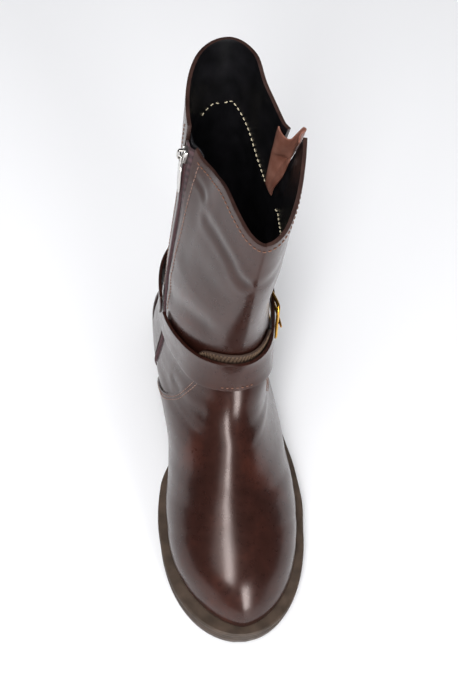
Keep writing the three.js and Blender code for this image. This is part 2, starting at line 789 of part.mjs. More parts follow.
function bucklePin() {
  const { y, z, length, rod: radius, prong } = buckle;
  const front = frontSkin(y - length / 2, z, strapThickness + 2 * seatGap + 2 * radius + prong);
  const mid = frontSkin(y - 1, z, strapThickness + seatGap + prong + 0.6);
  const rear = rearSkin(y + length / 2, z, 2 * radius + seatGap + prong + 0.2);
  const tip = front.clone().add(front.clone().sub(mid).setLength(2.2));
  return rod([rear, mid, front, tip], prong, false);
}

// Overcast tab that stands up behind the strap at the front of the ankle.
function strapTab() {
  const outline = (end) => [
    [-24, 114], [end - 3, 114], [end, 118], [end, 122],
    [end - 2.5, 125.5], [0, 128.5], [-8, 131], [-24, 131.5],
  ];
  const medial = patch(outline(6), 0.3, 1.5, -90, 0);
  return medial.add(patch(outline(17), 0.3, 1.5, -0.01, 90));
}

// The slider, and its pull tab on the slider's bridge. Both are made flat, with X out of the
// boot, Y along the hinge and Z up the zip, and then turned to lie on the skin.

const slider = {
  z: 242,
  halfHeight: 5.2,
  base: -0.25,
  top: 2.1,
  wide: 3.7,
  narrow: 2.6,
  bridge: 3.4,
  bridgeWidth: 2.2,
  opening: 2.6,
};
const hingeOut = slider.top + 1;
const pull = {
  length: 29,
  width: 7,
  neck: 5.4,
  thickness: 1,
  lean: 3.5,
  windowFrom: 0.75,
  windowTo: 4.5,
  windowWidth: 3.1,
};

const zipSkin = (z) => skin(-1, zipAt(z), z, 0);
const sliderBase = zipSkin(slider.z);
const sliderUp = zipSkin(slider.z + 6).sub(zipSkin(slider.z - 12)).normalize();
const sliderOut = new THREE.Vector3(-1, 0, 0).addScaledVector(sliderUp, sliderUp.x).normalize();
const sliderAcross = sliderUp.clone().cross(sliderOut);
const sliderPlace = new THREE.Matrix4()
  .makeBasis(sliderOut, sliderAcross, sliderUp)
  .setPosition(sliderBase);

// Flat shape drawn on two of the axes and pushed along the one square to them.
function plate(outline, holes, axes, from, to) {
  const shape = new THREE.Shape(outline.map(([a, b]) => new THREE.Vector2(a, b)));
  shape.holes = holes.map((hole) => new THREE.Path(hole.map(([a, b]) => new THREE.Vector2(a, b))));
  const geometry = new THREE.ExtrudeGeometry(shape, { depth: to - from, bevelEnabled: false });
  const columns = { x: [1, 0, 0], y: [0, 1, 0], z: [0, 0, 1] };
  const [u, v] = [...axes].map((axis) => new THREE.Vector3(...columns[axis]));
  const w = u.clone().cross(v);
  const place = new THREE.Matrix4().makeBasis(u, v, w);
  geometry.applyMatrix4(place.setPosition(w.clone().multiplyScalar(from)));
  geometry.deleteAttribute('normal');
  geometry.deleteAttribute('uv');
  return toSolid(toGeometry(toRows(geometry), toFaces(geometry)));
}

const placeOnSkin = (solid) => toSolid(fromSolid(solid).applyMatrix4(sliderPlace));

function zipSlider() {
  const { halfHeight, base, top, wide, narrow, bridge, bridgeWidth, opening } = slider;
  const outline = [
    [-narrow, -halfHeight], [narrow, -halfHeight], [wide, 1], [wide, halfHeight - 1.4], [1.4, halfHeight],
    [0, halfHeight - 1.6], [-1.4, halfHeight], [-wide, halfHeight - 1.4], [-wide, 1],
  ];
  const body = plate(outline, [], 'yz', base, top);
  const over = hingeOut + 1.25;
  const arch = plate(
    [[top - 0.6, -bridge], [over + 0.5, -bridge], [over + 0.95, -bridge + 0.6],
      [over + 0.95, bridge - 0.6], [over + 0.5, bridge], [top - 0.6, bridge]],
    [[[top, -opening], [over, -opening], [over, opening], [top, opening]]],
    'xz',
    -bridgeWidth / 2,
    bridgeWidth / 2,
  );
  return placeOnSkin(body.add(arch));
}

function zipPull() {
  const { length, width, neck, thickness, lean, windowFrom, windowTo, windowWidth } = pull;
  const outline = [
    [-neck / 2, windowFrom], [neck / 2, windowFrom], [neck / 2, -windowTo - 1],
    [neck / 2 - 0.6, -windowTo - 3], [width / 2, -windowTo - 6], [width / 2, -length + 3],
    [width / 2 - 1.6, -length + 0.8], [0, -length],
    [-width / 2 + 1.6, -length + 0.8], [-width / 2, -length + 3], [-width / 2, -windowTo - 6],
    [-neck / 2 + 0.6, -windowTo - 3], [-neck / 2, -windowTo - 1],
  ];
  const half = windowWidth / 2;
  const window = [[-half, -windowTo], [half, -windowTo], [half, -windowFrom], [-half, -windowFrom]];
  const flat = plate(outline, [window], 'yz', hingeOut - thickness / 2, hingeOut + thickness / 2);
  const lie = fromSolid(flat)
    .translate(-hingeOut, 0, 0)
    .rotateY(THREE.MathUtils.degToRad(lean))
    .translate(hingeOut, 0, 0);
  return placeOnSkin(toSolid(lie));
}

// Thin leather flap behind the zip, and the gusset that closes the slit from inside.
function zipGuard() {
  return patch(zipStrip(17, 60, 250), -wall - seatGap - 1, -wall - seatGap, -90, 0);
}

// The gusset fills the wedge in a soft fold: near the skin behind the front flap, then deep.
const gusset = { from: 211, to: 250, crest: 2, valley: 3.5, lap: 3, thickness: 0.9, steps: 8 };

function slitGusset() {
  const { from, to, crest, valley, lap, thickness, steps } = gusset;
  const behind = -wall - 1.5;
  const loops = Array.from({ length: steps + 1 }, (_, i) => {
    const share = i / steps;
    const z = from + (to - from) * share;
    const front = column(slitEdges, 'z', z, 'front');
    const rear = column(slitEdges, 'z', z, 'rear');
    const at = (y, out) => skin(1, y, z, out).toArray();
    const path = [
      [front - lap, behind],
      [front + 0.4 * (rear - front), behind + crest * share],
      [rear - 0.2 * (rear - front), behind - valley * share],
      [rear + lap, behind],
    ];
    return [
      ...path.map(([y, out]) => at(y, out)),
      ...path.slice().reverse().map(([y, out]) => at(y, out - 1.2 * thickness)),
    ];
  });
  return stackSolid(loops);
}

// The boot

const boot = new THREE.Group();

function addPiece(name, solid, colour, roughness, metalness) {
  const material = new THREE.MeshStandardMaterial({ color: colour, roughness, metalness });
  const mesh = new THREE.Mesh(fromSolid(solid), material);
  mesh.name = name;
  boot.add(mesh);
}

addPiece('outsole', outsole(), 0x5f5046, 0.6, 0);
addPiece('insole', insole(), 0x16181a, 0.8, 0);
addPiece('upper', upper(), 0x3a2420, 0.25, 0);
addPiece('strap_front', strapFront(), 0x3a2420, 0.25, 0);
addPiece('strap_rear', strapRear(), 0x3a2420, 0.25, 0);
addPiece('strap_tab', strapTab(), 0x6b5444, 0.8, 0);
addPiece('zip_tape', zipTape(), 0x4a3033, 0.8, 0);
addPiece('zip_coil', zipCoil(), 0x4a3033, 0.5, 0);
addPiece('zip_slider', zipSlider(), 0xc8c4c0, 0.25, 1);
addPiece('zip_pull', zipPull(), 0xc8c4c0, 0.25, 1);
addPiece('buckle_frame', buckleFrame(), 0xc79a3a, 0.2, 1);
addPiece('buckle_pin', bucklePin(), 0xc79a3a, 0.2, 1);
addPiece('zip_guard', zipGuard(), 0x16181a, 0.6, 0);
addPiece('slit_gusset', slitGusset(), 0x6e4638, 0.6, 0);

export default boot;
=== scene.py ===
# %% [markdown]
# A left ankle-strap boot with a side zip, dressed for its picture.
#
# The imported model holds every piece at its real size. This lesson keeps that frame and gives
# each piece the surface of the real one: glazed leather with its creases and seams, a moulded
# rubber sole, a nylon zip, plated hardware. All lengths below are millimetres in the boot's own
# frame (toe to -Y, outer side to +X, floor at 0) and are turned to metres where a mesh is made.

# %% Load the fixed frame
import json
import math
import bmesh
import bpy
import numpy as np
from mathutils import Matrix, Vector


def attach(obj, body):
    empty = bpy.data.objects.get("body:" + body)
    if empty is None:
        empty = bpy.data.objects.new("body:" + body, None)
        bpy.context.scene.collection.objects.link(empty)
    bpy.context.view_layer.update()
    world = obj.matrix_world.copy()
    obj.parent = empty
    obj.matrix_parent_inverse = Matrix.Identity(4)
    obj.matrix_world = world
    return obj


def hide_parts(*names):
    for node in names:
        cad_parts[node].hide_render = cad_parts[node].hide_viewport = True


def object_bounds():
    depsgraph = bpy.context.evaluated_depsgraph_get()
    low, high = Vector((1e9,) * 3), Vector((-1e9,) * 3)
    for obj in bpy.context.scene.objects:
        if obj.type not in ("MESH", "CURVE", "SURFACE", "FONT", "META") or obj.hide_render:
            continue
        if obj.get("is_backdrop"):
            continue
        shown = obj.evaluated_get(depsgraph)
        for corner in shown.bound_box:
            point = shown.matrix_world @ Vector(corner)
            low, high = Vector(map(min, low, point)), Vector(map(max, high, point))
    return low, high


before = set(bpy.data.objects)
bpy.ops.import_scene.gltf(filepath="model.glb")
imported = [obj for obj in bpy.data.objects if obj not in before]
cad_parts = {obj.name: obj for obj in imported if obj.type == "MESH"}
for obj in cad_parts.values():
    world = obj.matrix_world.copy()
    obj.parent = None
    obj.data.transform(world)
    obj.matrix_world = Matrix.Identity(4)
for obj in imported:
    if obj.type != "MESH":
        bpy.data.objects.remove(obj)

MM = 0.001
BODY = "boot"
cad_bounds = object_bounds()
print("nodes:", sorted(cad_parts))

# %% [markdown]
# The camera stands above and in front of the toe and looks down at about fifty degrees, so the
# open collar, the vamp and the toe all show. It keeps the place that the photograph's
# perspective gives, and is turned to look straight at the boot. Its up direction is kept too,
# which rolls it a little, so the boot stands in the frame at the same tilt.

# %% Camera
CAMERA_AT = Vector((-96.1, -393.3, 693.6))
PITCH_DOWN = math.radians(51.78)
YAW = math.radians(-6.01)
FOCAL_PIXELS = 955.6
FRAME_CENTRE = (229, 344)
BOOT_CENTRE = (303, 387)
SENSOR_LONG_SIDE = 36.0
LENS = 60.5

forward = Vector((
    -math.sin(YAW) * math.cos(PITCH_DOWN),
    math.cos(YAW) * math.cos(PITCH_DOWN),
    -math.sin(PITCH_DOWN),
))
right = Vector((math.cos(YAW), math.sin(YAW), 0))
upward = right.cross(forward)
aim = (
    forward
    + right * ((BOOT_CENTRE[0] - FRAME_CENTRE[0]) / FOCAL_PIXELS)
    - upward * ((BOOT_CENTRE[1] - FRAME_CENTRE[1]) / FOCAL_PIXELS)
).normalized()
kept_up = (upward - aim * upward.dot(aim)).normalized()
kept_right = aim.cross(kept_up)

camera_data = bpy.data.cameras.new("camera")
camera_data.sensor_fit = "AUTO"
camera_data.sensor_width = SENSOR_LONG_SIDE
camera_data.lens = LENS
camera_data.clip_start = 0.01
camera = bpy.data.objects.new("camera", camera_data)
bpy.context.scene.collection.objects.link(camera)
turn_matrix = Matrix((kept_right, kept_up, -aim)).transposed().to_4x4()
camera.matrix_world = Matrix.Translation(CAMERA_AT * MM) @ turn_matrix
bpy.context.scene.camera = camera
print("camera aim", [round(v, 3) for v in aim])

# %% [markdown]
# Colours are picked as sRGB hex, the way a colour chart gives them, and one function turns them
# to the linear values that the shaders need. One more function adds a node with its settings
# and links, so each material below reads as a short list of steps.


# %% Colour and node helpers
def linear(hex_colour):
    """Linear RGBA of an sRGB hex colour."""
    channels = [int(hex_colour[i:i + 2], 16) / 255 for i in (1, 3, 5)]
    return (*[c / 12.92 if c <= 0.04045 else ((c + 0.055) / 1.055) ** 2.4 for c in channels], 1.0)


def add_node(tree, kind, settings=None, inputs=None, links=None, stops=()):
    """A node with its properties, input values, links from other sockets and ramp stops."""
    node = tree.nodes.new(kind)
    for name, value in (settings or {}).items():
        setattr(node, name, value)
    for name, value in (inputs or {}).items():
        node.inputs[name].default_value = value
    for name, socket in (links or {}).items():
        tree.links.new(socket, node.inputs[name])
    if stops:
        elements = node.color_ramp.elements
        while len(elements) < len(stops):
            elements.new(0.5)
        for element, (position, colour) in zip(elements, stops):
            element.position = position
            element.color = colour
    return node


def new_material(name):
    """A material and its empty node tree."""
    material = bpy.data.materials.new(name)
    material.use_nodes = True
    material.node_tree.nodes.clear()
    return material, material.node_tree


print("linear of #808080:", round(linear("#808080")[0], 3))

# %% [markdown]
# The upper is drawn as a fan of sections, the way a last maker checks a last: each runs from a
# point on the front line to one on the back line or the sole, and the table gives its ends, its
# two half widths, where it is widest, and how full it is. A smooth reader between the rows lets
# the same table give as fine a mesh as a picture needs.

# %% Tables of the boot's form
SOLE_LENGTH = 272.0
FRONT_Y = -SOLE_LENGTH / 2
BACK_Y = SOLE_LENGTH / 2
HEEL_HEIGHT = 35.0
BREAST_Y = BACK_Y - 78.0
TOE_CAP = 66.0
HEEL_CAP = 27.0
HEEL_SQUARENESS = 3.0
WALL = 2.2
SEAT_GAP = 0.3

PLAN_NAMES = ("y", "middle", "half", "ledge")
PLAN = (
    (FRONT_Y, -4.0, 45.2, 12.0),
    (-100, -3.4, 45.4, 11.4),
    (-72, -2.0, 46.4, 9.4),
    (-50, -0.2, 48.1, 7.6),
    (-25, 2.0, 45.6, 5.4),
    (0, 6.6, 37.6, 3.0),
    (25, 8.6, 32.0, 2.0),
    (50, 6.8, 30.8, 1.6),
    (75, 4.2, 31.0, 1.8),
    (100, 2.4, 31.0, 2.6),
    (BACK_Y, 1.4, 31.0, 3.2),
)
PROFILE_NAMES = ("y", "top", "under")
PROFILE = (
    (FRONT_Y, 17.4, 3.4),
    (-118, 15.7, 1.4),
    (-98, 14.9, 0.3),
    (-80, 14.6, 0),
    (-50, 14.6, 0),
    (-20, 16.0, 0),
    (0, 17.8, 1.4),
    (20, 20.2, 5.4),
    (40, 22.9, 9.6),
    (BREAST_Y, 25.6, 12.4),
    (97, 31.2, 18.0),
    (BACK_Y, HEEL_HEIGHT, 22.0),
)
SECTION_NAMES = (
    "y_top", "z_top", "x_top", "y_end", "medial", "lateral", "wide", "round_in", "round_out",
)
SECTIONS = (
    (-19, 242, 9, 115, 29, 33, 0.53, 1.7, 1.8),
    (-17, 222, 8, 113, 31, 30, 0.52, 1.72, 1.85),
    (-14, 196, 7, 111, 33, 26.5, 0.5, 1.76, 1.95),
    (-10, 168, 6, 109, 35.5, 23, 0.5, 1.8, 2),
    (-6, 143, 5, 106.5, 37, 24.5, 0.49, 1.86, 2.05),
    (-5, 125, 4, 109.5, 37, 27.5, 0.48, 1.9, 2.1),
    (-9, 109, 3, 119, 36, 31, 0.5, 1.94, 2.15),
    (-17, 97, 2, 128, 36, 33.5, 0.56, 1.96, 2.2),
    (-25, 88, 0, 132.4, 37, 34, 0.62, 1.96, 2.2),
    (-32, 82.5, -1, 132.6, 37.5, 34, 0.66, 1.96, 2.2),
    (-38, 79, -1, 122, 38, 34, 0.7, 1.96, 2.2),
    (-45, 75, -2, 98, 39, 33.5, 0.75, 1.96, 2.2),
    (-52, 71.5, -3, 68, 39.2, 33.5, 0.78, 1.98, 2.15),
    (-60, 67.5, -4, 34, 39.6, 33.4, 0.8, 2, 2.1),
    (-69, 63.5, -5, 0, 40.2, 35.6, 0.8, 2.02, 2.05),
    (-79, 59, -5.5, -32, 39.8, 40.2, 0.8, 2, 1.95),
    (-90, 54.5, -5.8, -56, 40.6, 40.4, 0.8, 1.96, 1.93),
    (-101, 49.5, -5.6, -71, 39.4, 38.8, 0.82, 1.9, 1.92),
    (-111, 43.5, -5.4, -79, 37.8, 37.2, 0.86, 1.84, 1.9),
    (-119, 36, -5.2, -83.5, 36.2, 35.9, 0.9, 1.76, 1.86),
    (-125.5, 28, -4.9, -87, 34.8, 34.7, 0.94, 1.68, 1.8),
    (-128.6, 21.5, -4.6, -89.5, 33.6, 33.6, 0.97, 1.6, 1.75),
    (-129, 17.1, -4.5, -91, 32.6, 32.6, 0.99, 1.56, 1.72),
)
# Height and middle of the back line, for the sections that close round the heel.
BACK_NAMES = ("z", "x")
BACK_LINE = (
    (269, 7), (240, 7), (205, 7), (168, 6), (134, 5), (108, 4), (84, 3), (62, 2), (44, 2),
)
LAST_PLACE = len(SECTIONS) - 1
FIRST_OPEN = len(BACK_LINE)
TOP_SHARE = 9 / 14

WAVE_NAMES = ("turn", "rise", "push")
WAVE_MEDIAL = (
    (0, 2.4, 0), (0.2, 0.2, -3.5), (0.3, 1.1, -5.5), (0.4, 1.3, -7.2), (0.45, -0.8, -7.4),
    (0.5, -5.4, -7.5), (0.58, -8.5, -4), (0.65, 0, 1), (0.75, 0, 2.2), (0.85, 0, 2.5), (1, 0, 0),
)
WAVE_LATERAL = (
    (0, 2.4, 0), (0.15, 3, -0.5), (0.3, 4.5, -1.8), (0.42, 6.5, -2), (0.57, 8.5, -0.8),
    (0.62, 6.5, 0.5), (0.645, -4, -3), (0.68, -6, -8), (0.76, -4, -9.5), (0.85, 0.5, -5),
    (1, 0, 0),
)
print("sections:", len(SECTIONS), "of", len(SECTION_NAMES), "numbers")


# %% Reading the tables smoothly
def smooth(places, values, at):
    """Smooth values at places, with no overshoot between the rows (arrays in, array out)."""
    places = np.asarray(places, float)
    values = np.asarray(values, float)
    at = np.atleast_1d(np.asarray(at, float))
    if places[-1] < places[0]:
        places, values = places[::-1], values[::-1]
    at = np.clip(at, places[0], places[-1])
    i = np.clip(np.searchsorted(places, at, side="left") - 1, 0, len(places) - 2)
    steps = np.diff(places)
    slopes = np.diff(values) / steps
    tangents = np.empty_like(values)
    tangents[0], tangents[-1] = slopes[0], slopes[-1]
    before, after = slopes[:-1], slopes[1:]
    a, b = steps[:-1], steps[1:]
    with np.errstate(divide="ignore", invalid="ignore"):
        mean = 3 * (a + b) / ((2 * b + a) / before + (b + 2 * a) / after)
    tangents[1:-1] = np.where(before * after > 0, mean, 0)
    span = steps[i]
    u = (at - places[i]) / span
    return (
        (2 * u**3 - 3 * u**2 + 1) * values[i]
        + (u**3 - 2 * u**2 + u) * span * tangents[i]
        + (3 * u**2 - 2 * u**3) * values[i + 1]
        + (u**3 - u**2) * span * tangents[i + 1]
    )


def read(table, names, name, at, key=0):
    """One named column of a table, read smoothly along its key column."""
    rows = np.array(table, float)
    places = np.arange(len(rows)) if key is None else rows[:, key]
    return smooth(places, rows[:, names.index(name)], at)


def sole_top(y):
    """Height of the sole's upper face."""
    return read(PROFILE, PROFILE_NAMES, "top", y)


def sole_under(y):
    """Height of the sole's underside, were there no heel."""
    return read(PROFILE, PROFILE_NAMES, "under", y)


def plan_at(y, inset):
    """Middle and half width of the sole's plan at y, drawn in by an inset."""
    y = np.atleast_1d(np.asarray(y, float))
    inset = np.broadcast_to(np.asarray(inset, float), y.shape)
    toe_end, heel_end = FRONT_Y + inset, BACK_Y - inset
    u = np.clip((toe_end + TOE_CAP - y) / TOE_CAP, 0, 1)
    w = np.clip((y - heel_end + HEEL_CAP) / HEEL_CAP, 0, 1)
    share = np.sqrt(1 - u**2) * (1 - w**HEEL_SQUARENESS) ** (1 / HEEL_SQUARENESS)
    half = (read(PLAN, PLAN_NAMES, "half", y) - inset) * share
    return read(PLAN, PLAN_NAMES, "middle", y), half


def upper_point(place, turn):
    """Points of the upper for arrays of place (0 collar .. last toe) and turn (-1 .. 1)."""
    place, turn = np.broadcast_arrays(np.asarray(place, float), np.asarray(turn, float))
    shape = place.shape
    place, turn = place.ravel(), turn.ravel()
    row = {n: read(SECTIONS, SECTION_NAMES, n, place, key=None) for n in SECTION_NAMES}
    ledge = read(PLAN, PLAN_NAMES, "ledge", row["y_end"])
    middle, half = plan_at(row["y_end"], ledge)
    closed = place <= FIRST_OPEN
    first_y = SECTIONS[FIRST_OPEN][SECTION_NAMES.index("y_end")]
    first_middle = plan_at(first_y, read(PLAN, PLAN_NAMES, "ledge", first_y))[0][0]
    back = BACK_LINE + ((sole_top(first_y)[0] + SEAT_GAP, first_middle),)
    z_end = np.where(
        closed, read(back, BACK_NAMES, "z", place, key=None), sole_top(row["y_end"]) + SEAT_GAP
    )
    x_end = np.where(closed, read(back, BACK_NAMES, "x", place, key=None), middle)
    foot = np.where(closed, 0, half)
    inner = turn < 0
    side = np.where(inner, -1, 1)
    reach = np.abs(turn)
    widest = np.maximum(np.where(inner, row["medial"], row["lateral"]), foot + 0.2)
    fullness = np.where(inner, row["round_in"], row["round_out"])
    near = np.clip(reach / TOP_SHARE, 0, 1) * math.pi / 2
    far = np.clip((reach - TOP_SHARE) / (1 - TOP_SHARE), 0, 1) * math.pi / 2
    first = reach <= TOP_SHARE
    along = np.where(
        first,
        row["wide"] * (1 - np.maximum(np.cos(near), 0) ** (2 / fullness)),
        row["wide"] + (1 - row["wide"]) * np.sin(far),
    )
    out = np.where(
        first, widest * np.sin(near) ** (2 / fullness), foot + (widest - foot) * np.cos(far)
    )
    z = row["z_top"] + (z_end - row["z_top"]) * along
    fade = np.clip(1 - place / 3, 0, 1)
    wave = {
        n: np.where(
            inner,
            read(WAVE_MEDIAL, WAVE_NAMES, n, reach),
            read(WAVE_LATERAL, WAVE_NAMES, n, reach),
        )
        for n in ("rise", "push")
    }
    z = z + fade**2 * wave["rise"]
    out = out + fade * wave["push"]
    x = row["x_top"] + (x_end - row["x_top"]) * along + side * out
    y = row["y_top"] + (row["y_end"] - row["y_top"]) * along
    return np.stack([x, y, z], -1).reshape(*shape, 3)


def unit(vectors):
    """Vectors at length one."""
    return vectors / np.maximum(np.linalg.norm(vectors, axis=-1, keepdims=True), 1e-9)


def upper_normal(place, turn):
    """Outward normals of the upper at places and turns."""
    step = 0.02
    turn = np.clip(turn, -1 + step, 1 - step)
    place = np.clip(place, step, LAST_PLACE - step)
    along = upper_point(place + step, turn) - upper_point(place - step, turn)
    around = upper_point(place, turn + step) - upper_point(place, turn - step)
    return unit(np.cross(along, around))


check = upper_point(0, 0)
print("top of the front line:", np.round(check, 1))

# %% [markdown]
# Every soft piece is a sheet: a grid of points on or just off the skin, given its thickness by a
# solidify step and soft edges by a bevel. One helper makes the object, hides the imported solid that
# it stands for and lets it ride on its body.


# %% Mesh helpers
def grid_faces(rows, columns, keep=None, wrap_rows=None):
    """Quads of a grid of points; keep masks them, wrap_rows joins the last column to the first."""
    index = np.arange(rows * columns).reshape(rows, columns)
    if wrap_rows is not None:
        index[wrap_rows, -1] = index[wrap_rows, 0]
    quads = np.stack([index[:-1, :-1], index[1:, :-1], index[1:, 1:], index[:-1, 1:]], -1)
    quads = quads[keep] if keep is not None else quads.reshape(-1, 4)
    return quads.reshape(-1, 4).tolist()


def make_piece(name, points, faces, materials, slot=None, stands_for=(), body=BODY, tone=None):
    """An object from points in millimetres; tone is a value per point that its material reads."""
    mesh = bpy.data.meshes.new(name)
    points = np.asarray(points, float).reshape(-1, 3)
    mesh.from_pydata((points * MM).tolist(), [], [tuple(face) for face in faces])
    if tone is not None:
        layer = mesh.attributes.new("tone", "FLOAT", "POINT")
        layer.data.foreach_set("value", np.asarray(tone, np.float32).ravel())
    for material in materials:
        mesh.materials.append(material)
    mesh.polygons.foreach_set("use_smooth", np.ones(len(mesh.polygons), bool))
    piece = bpy.data.objects.new(name, mesh)
    bpy.context.scene.collection.objects.link(piece)
    tidy_mesh(piece)
    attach(piece, body)
    if stands_for:
        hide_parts(*stands_for)
    return piece


def tidy_mesh(piece):
    """Drop loose points and join doubles."""
    work = bmesh.new()
    work.from_mesh(piece.data)
    bmesh.ops.remove_doubles(work, verts=work.verts, dist=0.00002)
    loose = [v for v in work.verts if not v.link_faces]
    bmesh.ops.delete(work, geom=loose, context="VERTS")
    work.to_mesh(piece.data)
    work.free()


def thicken(piece, thickness, bevel, segments=3, inner=0, rim=0):
    """Give a sheet its thickness (millimetres, inwards) and round its edges.

    Its inside and its rim take the materials that lie inner and rim places after the first.
    """
    solid = piece.modifiers.new("thickness", "SOLIDIFY")
    solid.thickness = thickness * MM
    solid.offset = -1
    solid.use_even_offset = True
    solid.material_offset = inner
    solid.material_offset_rim = rim
    soft = piece.modifiers.new("soft edges", "BEVEL")
    soft.width = bevel * MM
    soft.segments = segments
    soft.limit_method = "ANGLE"
    soft.angle_limit = math.radians(50)
    soft.harden_normals = False
    return piece


def tube(points, radius, sides, closed=False):
    """Points and faces of a rod through points, with a radius for each or one for all."""
    points = np.asarray(points, float)
    count = len(points)
    radius = np.broadcast_to(np.asarray(radius, float), (count,))
    if closed:
        tangent = unit(np.roll(points, -1, 0) - np.roll(points, 1, 0))
    else:
        tangent = unit(np.gradient(points, axis=0))
    across = unit(np.cross(tangent, np.array([0.31, 0.17, 0.94])))
    other = np.cross(tangent, across)
    angle = 2 * math.pi * np.arange(sides) / sides
    ring = (
        points[:, None]
        + radius[:, None, None] * (
            np.cos(angle)[None, :, None] * across[:, None]
            + np.sin(angle)[None, :, None] * other[:, None]
        )
    )
    faces = []
    for i in range(count if closed else count - 1):
        for k in range(sides):
            a, b = i * sides + k, i * sides + (k + 1) % sides
            c, d = (a + sides) % (count * sides), (b + sides) % (count * sides)
            faces.append((a, b, d, c))
    if not closed:
        faces.append(tuple(reversed(range(sides))))
        faces.append(tuple(range((count - 1) * sides, count * sides)))
    return ring.reshape(-1, 3), faces


def spline(points, count, closed=False):
    """Evenly spaced points on a smooth curve through points."""
    points = np.asarray(points, float)
    if closed:
        padded = np.vstack([points[-1:], points, points[:2]])
    else:
        padded = np.vstack([2 * points[0] - points[1], points, 2 * points[-1] - points[-2]])
    fine = []
    for i in range(1, len(padded) - 2):
        a, b, c, d = padded[i - 1:i + 3]
        u = np.linspace(0, 1, 24, endpoint=False)[:, None]
        fine.append(0.5 * (
            2 * b + (c - a) * u + (2 * a - 5 * b + 4 * c - d) * u**2
            + (3 * b - a - 3 * c + d) * u**3
        ))
    fine = np.vstack(fine + [padded[-2:-1]])
    length = np.concatenate([[0], np.cumsum(np.linalg.norm(np.diff(fine, axis=0), axis=1))])
    at = np.linspace(0, length[-1], count, endpoint=not closed)
    return np.stack([np.interp(at, length, fine[:, k]) for k in range(3)], -1)


def join_shapes(shapes):
    """One set of points and faces from several."""
    points, faces, start = [], [], 0
    for some_points, some_faces in shapes:
        points.append(np.asarray(some_points))
        faces.extend(tuple(i + start for i in face) for face in some_faces)
        start += len(some_points)
    return np.vstack(points), faces


print("helpers ready")

# %% [markdown]
# The boot is cut from a glazed leather: a dark brown hide, pressed and polished until its surface
# shows the lamps as soft streaks, over a grain that is only just seen. A clear coat over a rougher
# base gives both. Each spot's tone comes from the mesh: painted shade in the creases, and lighter or
# darker in a few listed patches; where it is lighter the ramp is redder too.

# %% Materials: leathers


def per(millimetres):
    """Pattern scale that gives features of a real size, for coordinates in metres."""
    return 1 / (millimetres * MM)


def glazed_leather(name, dark, middle, light):
    """Polished hide: a tone from dark to light, a fine grain and a clear glaze."""
    material, tree = new_material(name)
    where = add_node(tree, "ShaderNodeTexCoord").outputs["Object"]
    tone = add_node(tree, "ShaderNodeAttribute", {"attribute_name": "tone"}).outputs["Fac"]
    # The dye lies in soft clouds, drawn out up and down the shaft.
    upright = add_node(
        tree, "ShaderNodeVectorMath", {"operation": "MULTIPLY"},
        inputs={1: (1, 1, 0.3)}, links={0: where},
    ).outputs["Vector"]
    cloud = add_node(
        tree, "ShaderNodeTexNoise",
        inputs={"Scale": per(15), "Detail": 3}, links={"Vector": upright},
    ).outputs["Fac"]
    mottle = add_node(
        tree, "ShaderNodeTexNoise",
        inputs={"Scale": per(4.5), "Detail": 4, "Roughness": 0.6}, links={"Vector": where},
    ).outputs["Fac"]
    clouded = add_node(
        tree, "ShaderNodeMath", {"operation": "MULTIPLY"}, inputs={1: 0.55}, links={0: cloud}
    ).outputs["Value"]
    varied = add_node(
        tree, "ShaderNodeMath", {"operation": "MULTIPLY_ADD"},
        inputs={1: 0.35}, links={0: mottle, 2: clouded},
    ).outputs["Value"]
    toned = add_node(
        tree, "ShaderNodeMath", {"operation": "ADD", "use_clamp": True},
        links={0: varied, 1: tone},
    ).outputs["Value"]
    colour = add_node(
        tree, "ShaderNodeValToRGB", links={"Fac": toned},
        stops=[(0.15, linear(dark)), (0.5, linear(middle)), (1.0, linear(light))],
    ).outputs["Color"]
    # The glaze fills the pores and follows only the hide's slow swell.
    swell = add_node(
        tree, "ShaderNodeTexNoise",
        inputs={"Scale": per(20), "Detail": 1}, links={"Vector": where},
    ).outputs["Fac"]
    glaze_relief = add_node(
        tree, "ShaderNodeBump", inputs={"Distance": 0.2 * MM}, links={"Height": swell}
    ).outputs["Normal"]
    # Real pores lie less than half a millimetre apart: these are drawn coarser, so they show.
    pores = add_node(
        tree, "ShaderNodeTexNoise",
        inputs={"Scale": per(1.6), "Detail": 1}, links={"Vector": where},
    ).outputs["Fac"]
    hide_relief = add_node(
        tree, "ShaderNodeBump",
        inputs={"Distance": 0.008 * MM}, links={"Height": pores, "Normal": glaze_relief},
    ).outputs["Normal"]
    worn = add_node(
        tree, "ShaderNodeValToRGB", links={"Fac": mottle},
        stops=[(0.3, (0.26, 0.26, 0.26, 1)), (0.75, (0.34, 0.34, 0.34, 1))],
    ).outputs["Color"]
    shader = add_node(
        tree, "ShaderNodeBsdfPrincipled",
        inputs={
            "IOR": 1.5, "Specular IOR Level": 0.3, "Specular Tint": linear("#ffdcd2"),
            "Coat Weight": 0.45, "Coat Roughness": 0.23, "Coat IOR": 1.5,
        },
        links={
            "Base Color": colour, "Roughness": worn,
            "Normal": hide_relief, "Coat Normal": glaze_relief,
        },
    )
    add_node(tree, "ShaderNodeOutputMaterial", links={"Surface": shader.outputs["BSDF"]})
    return material


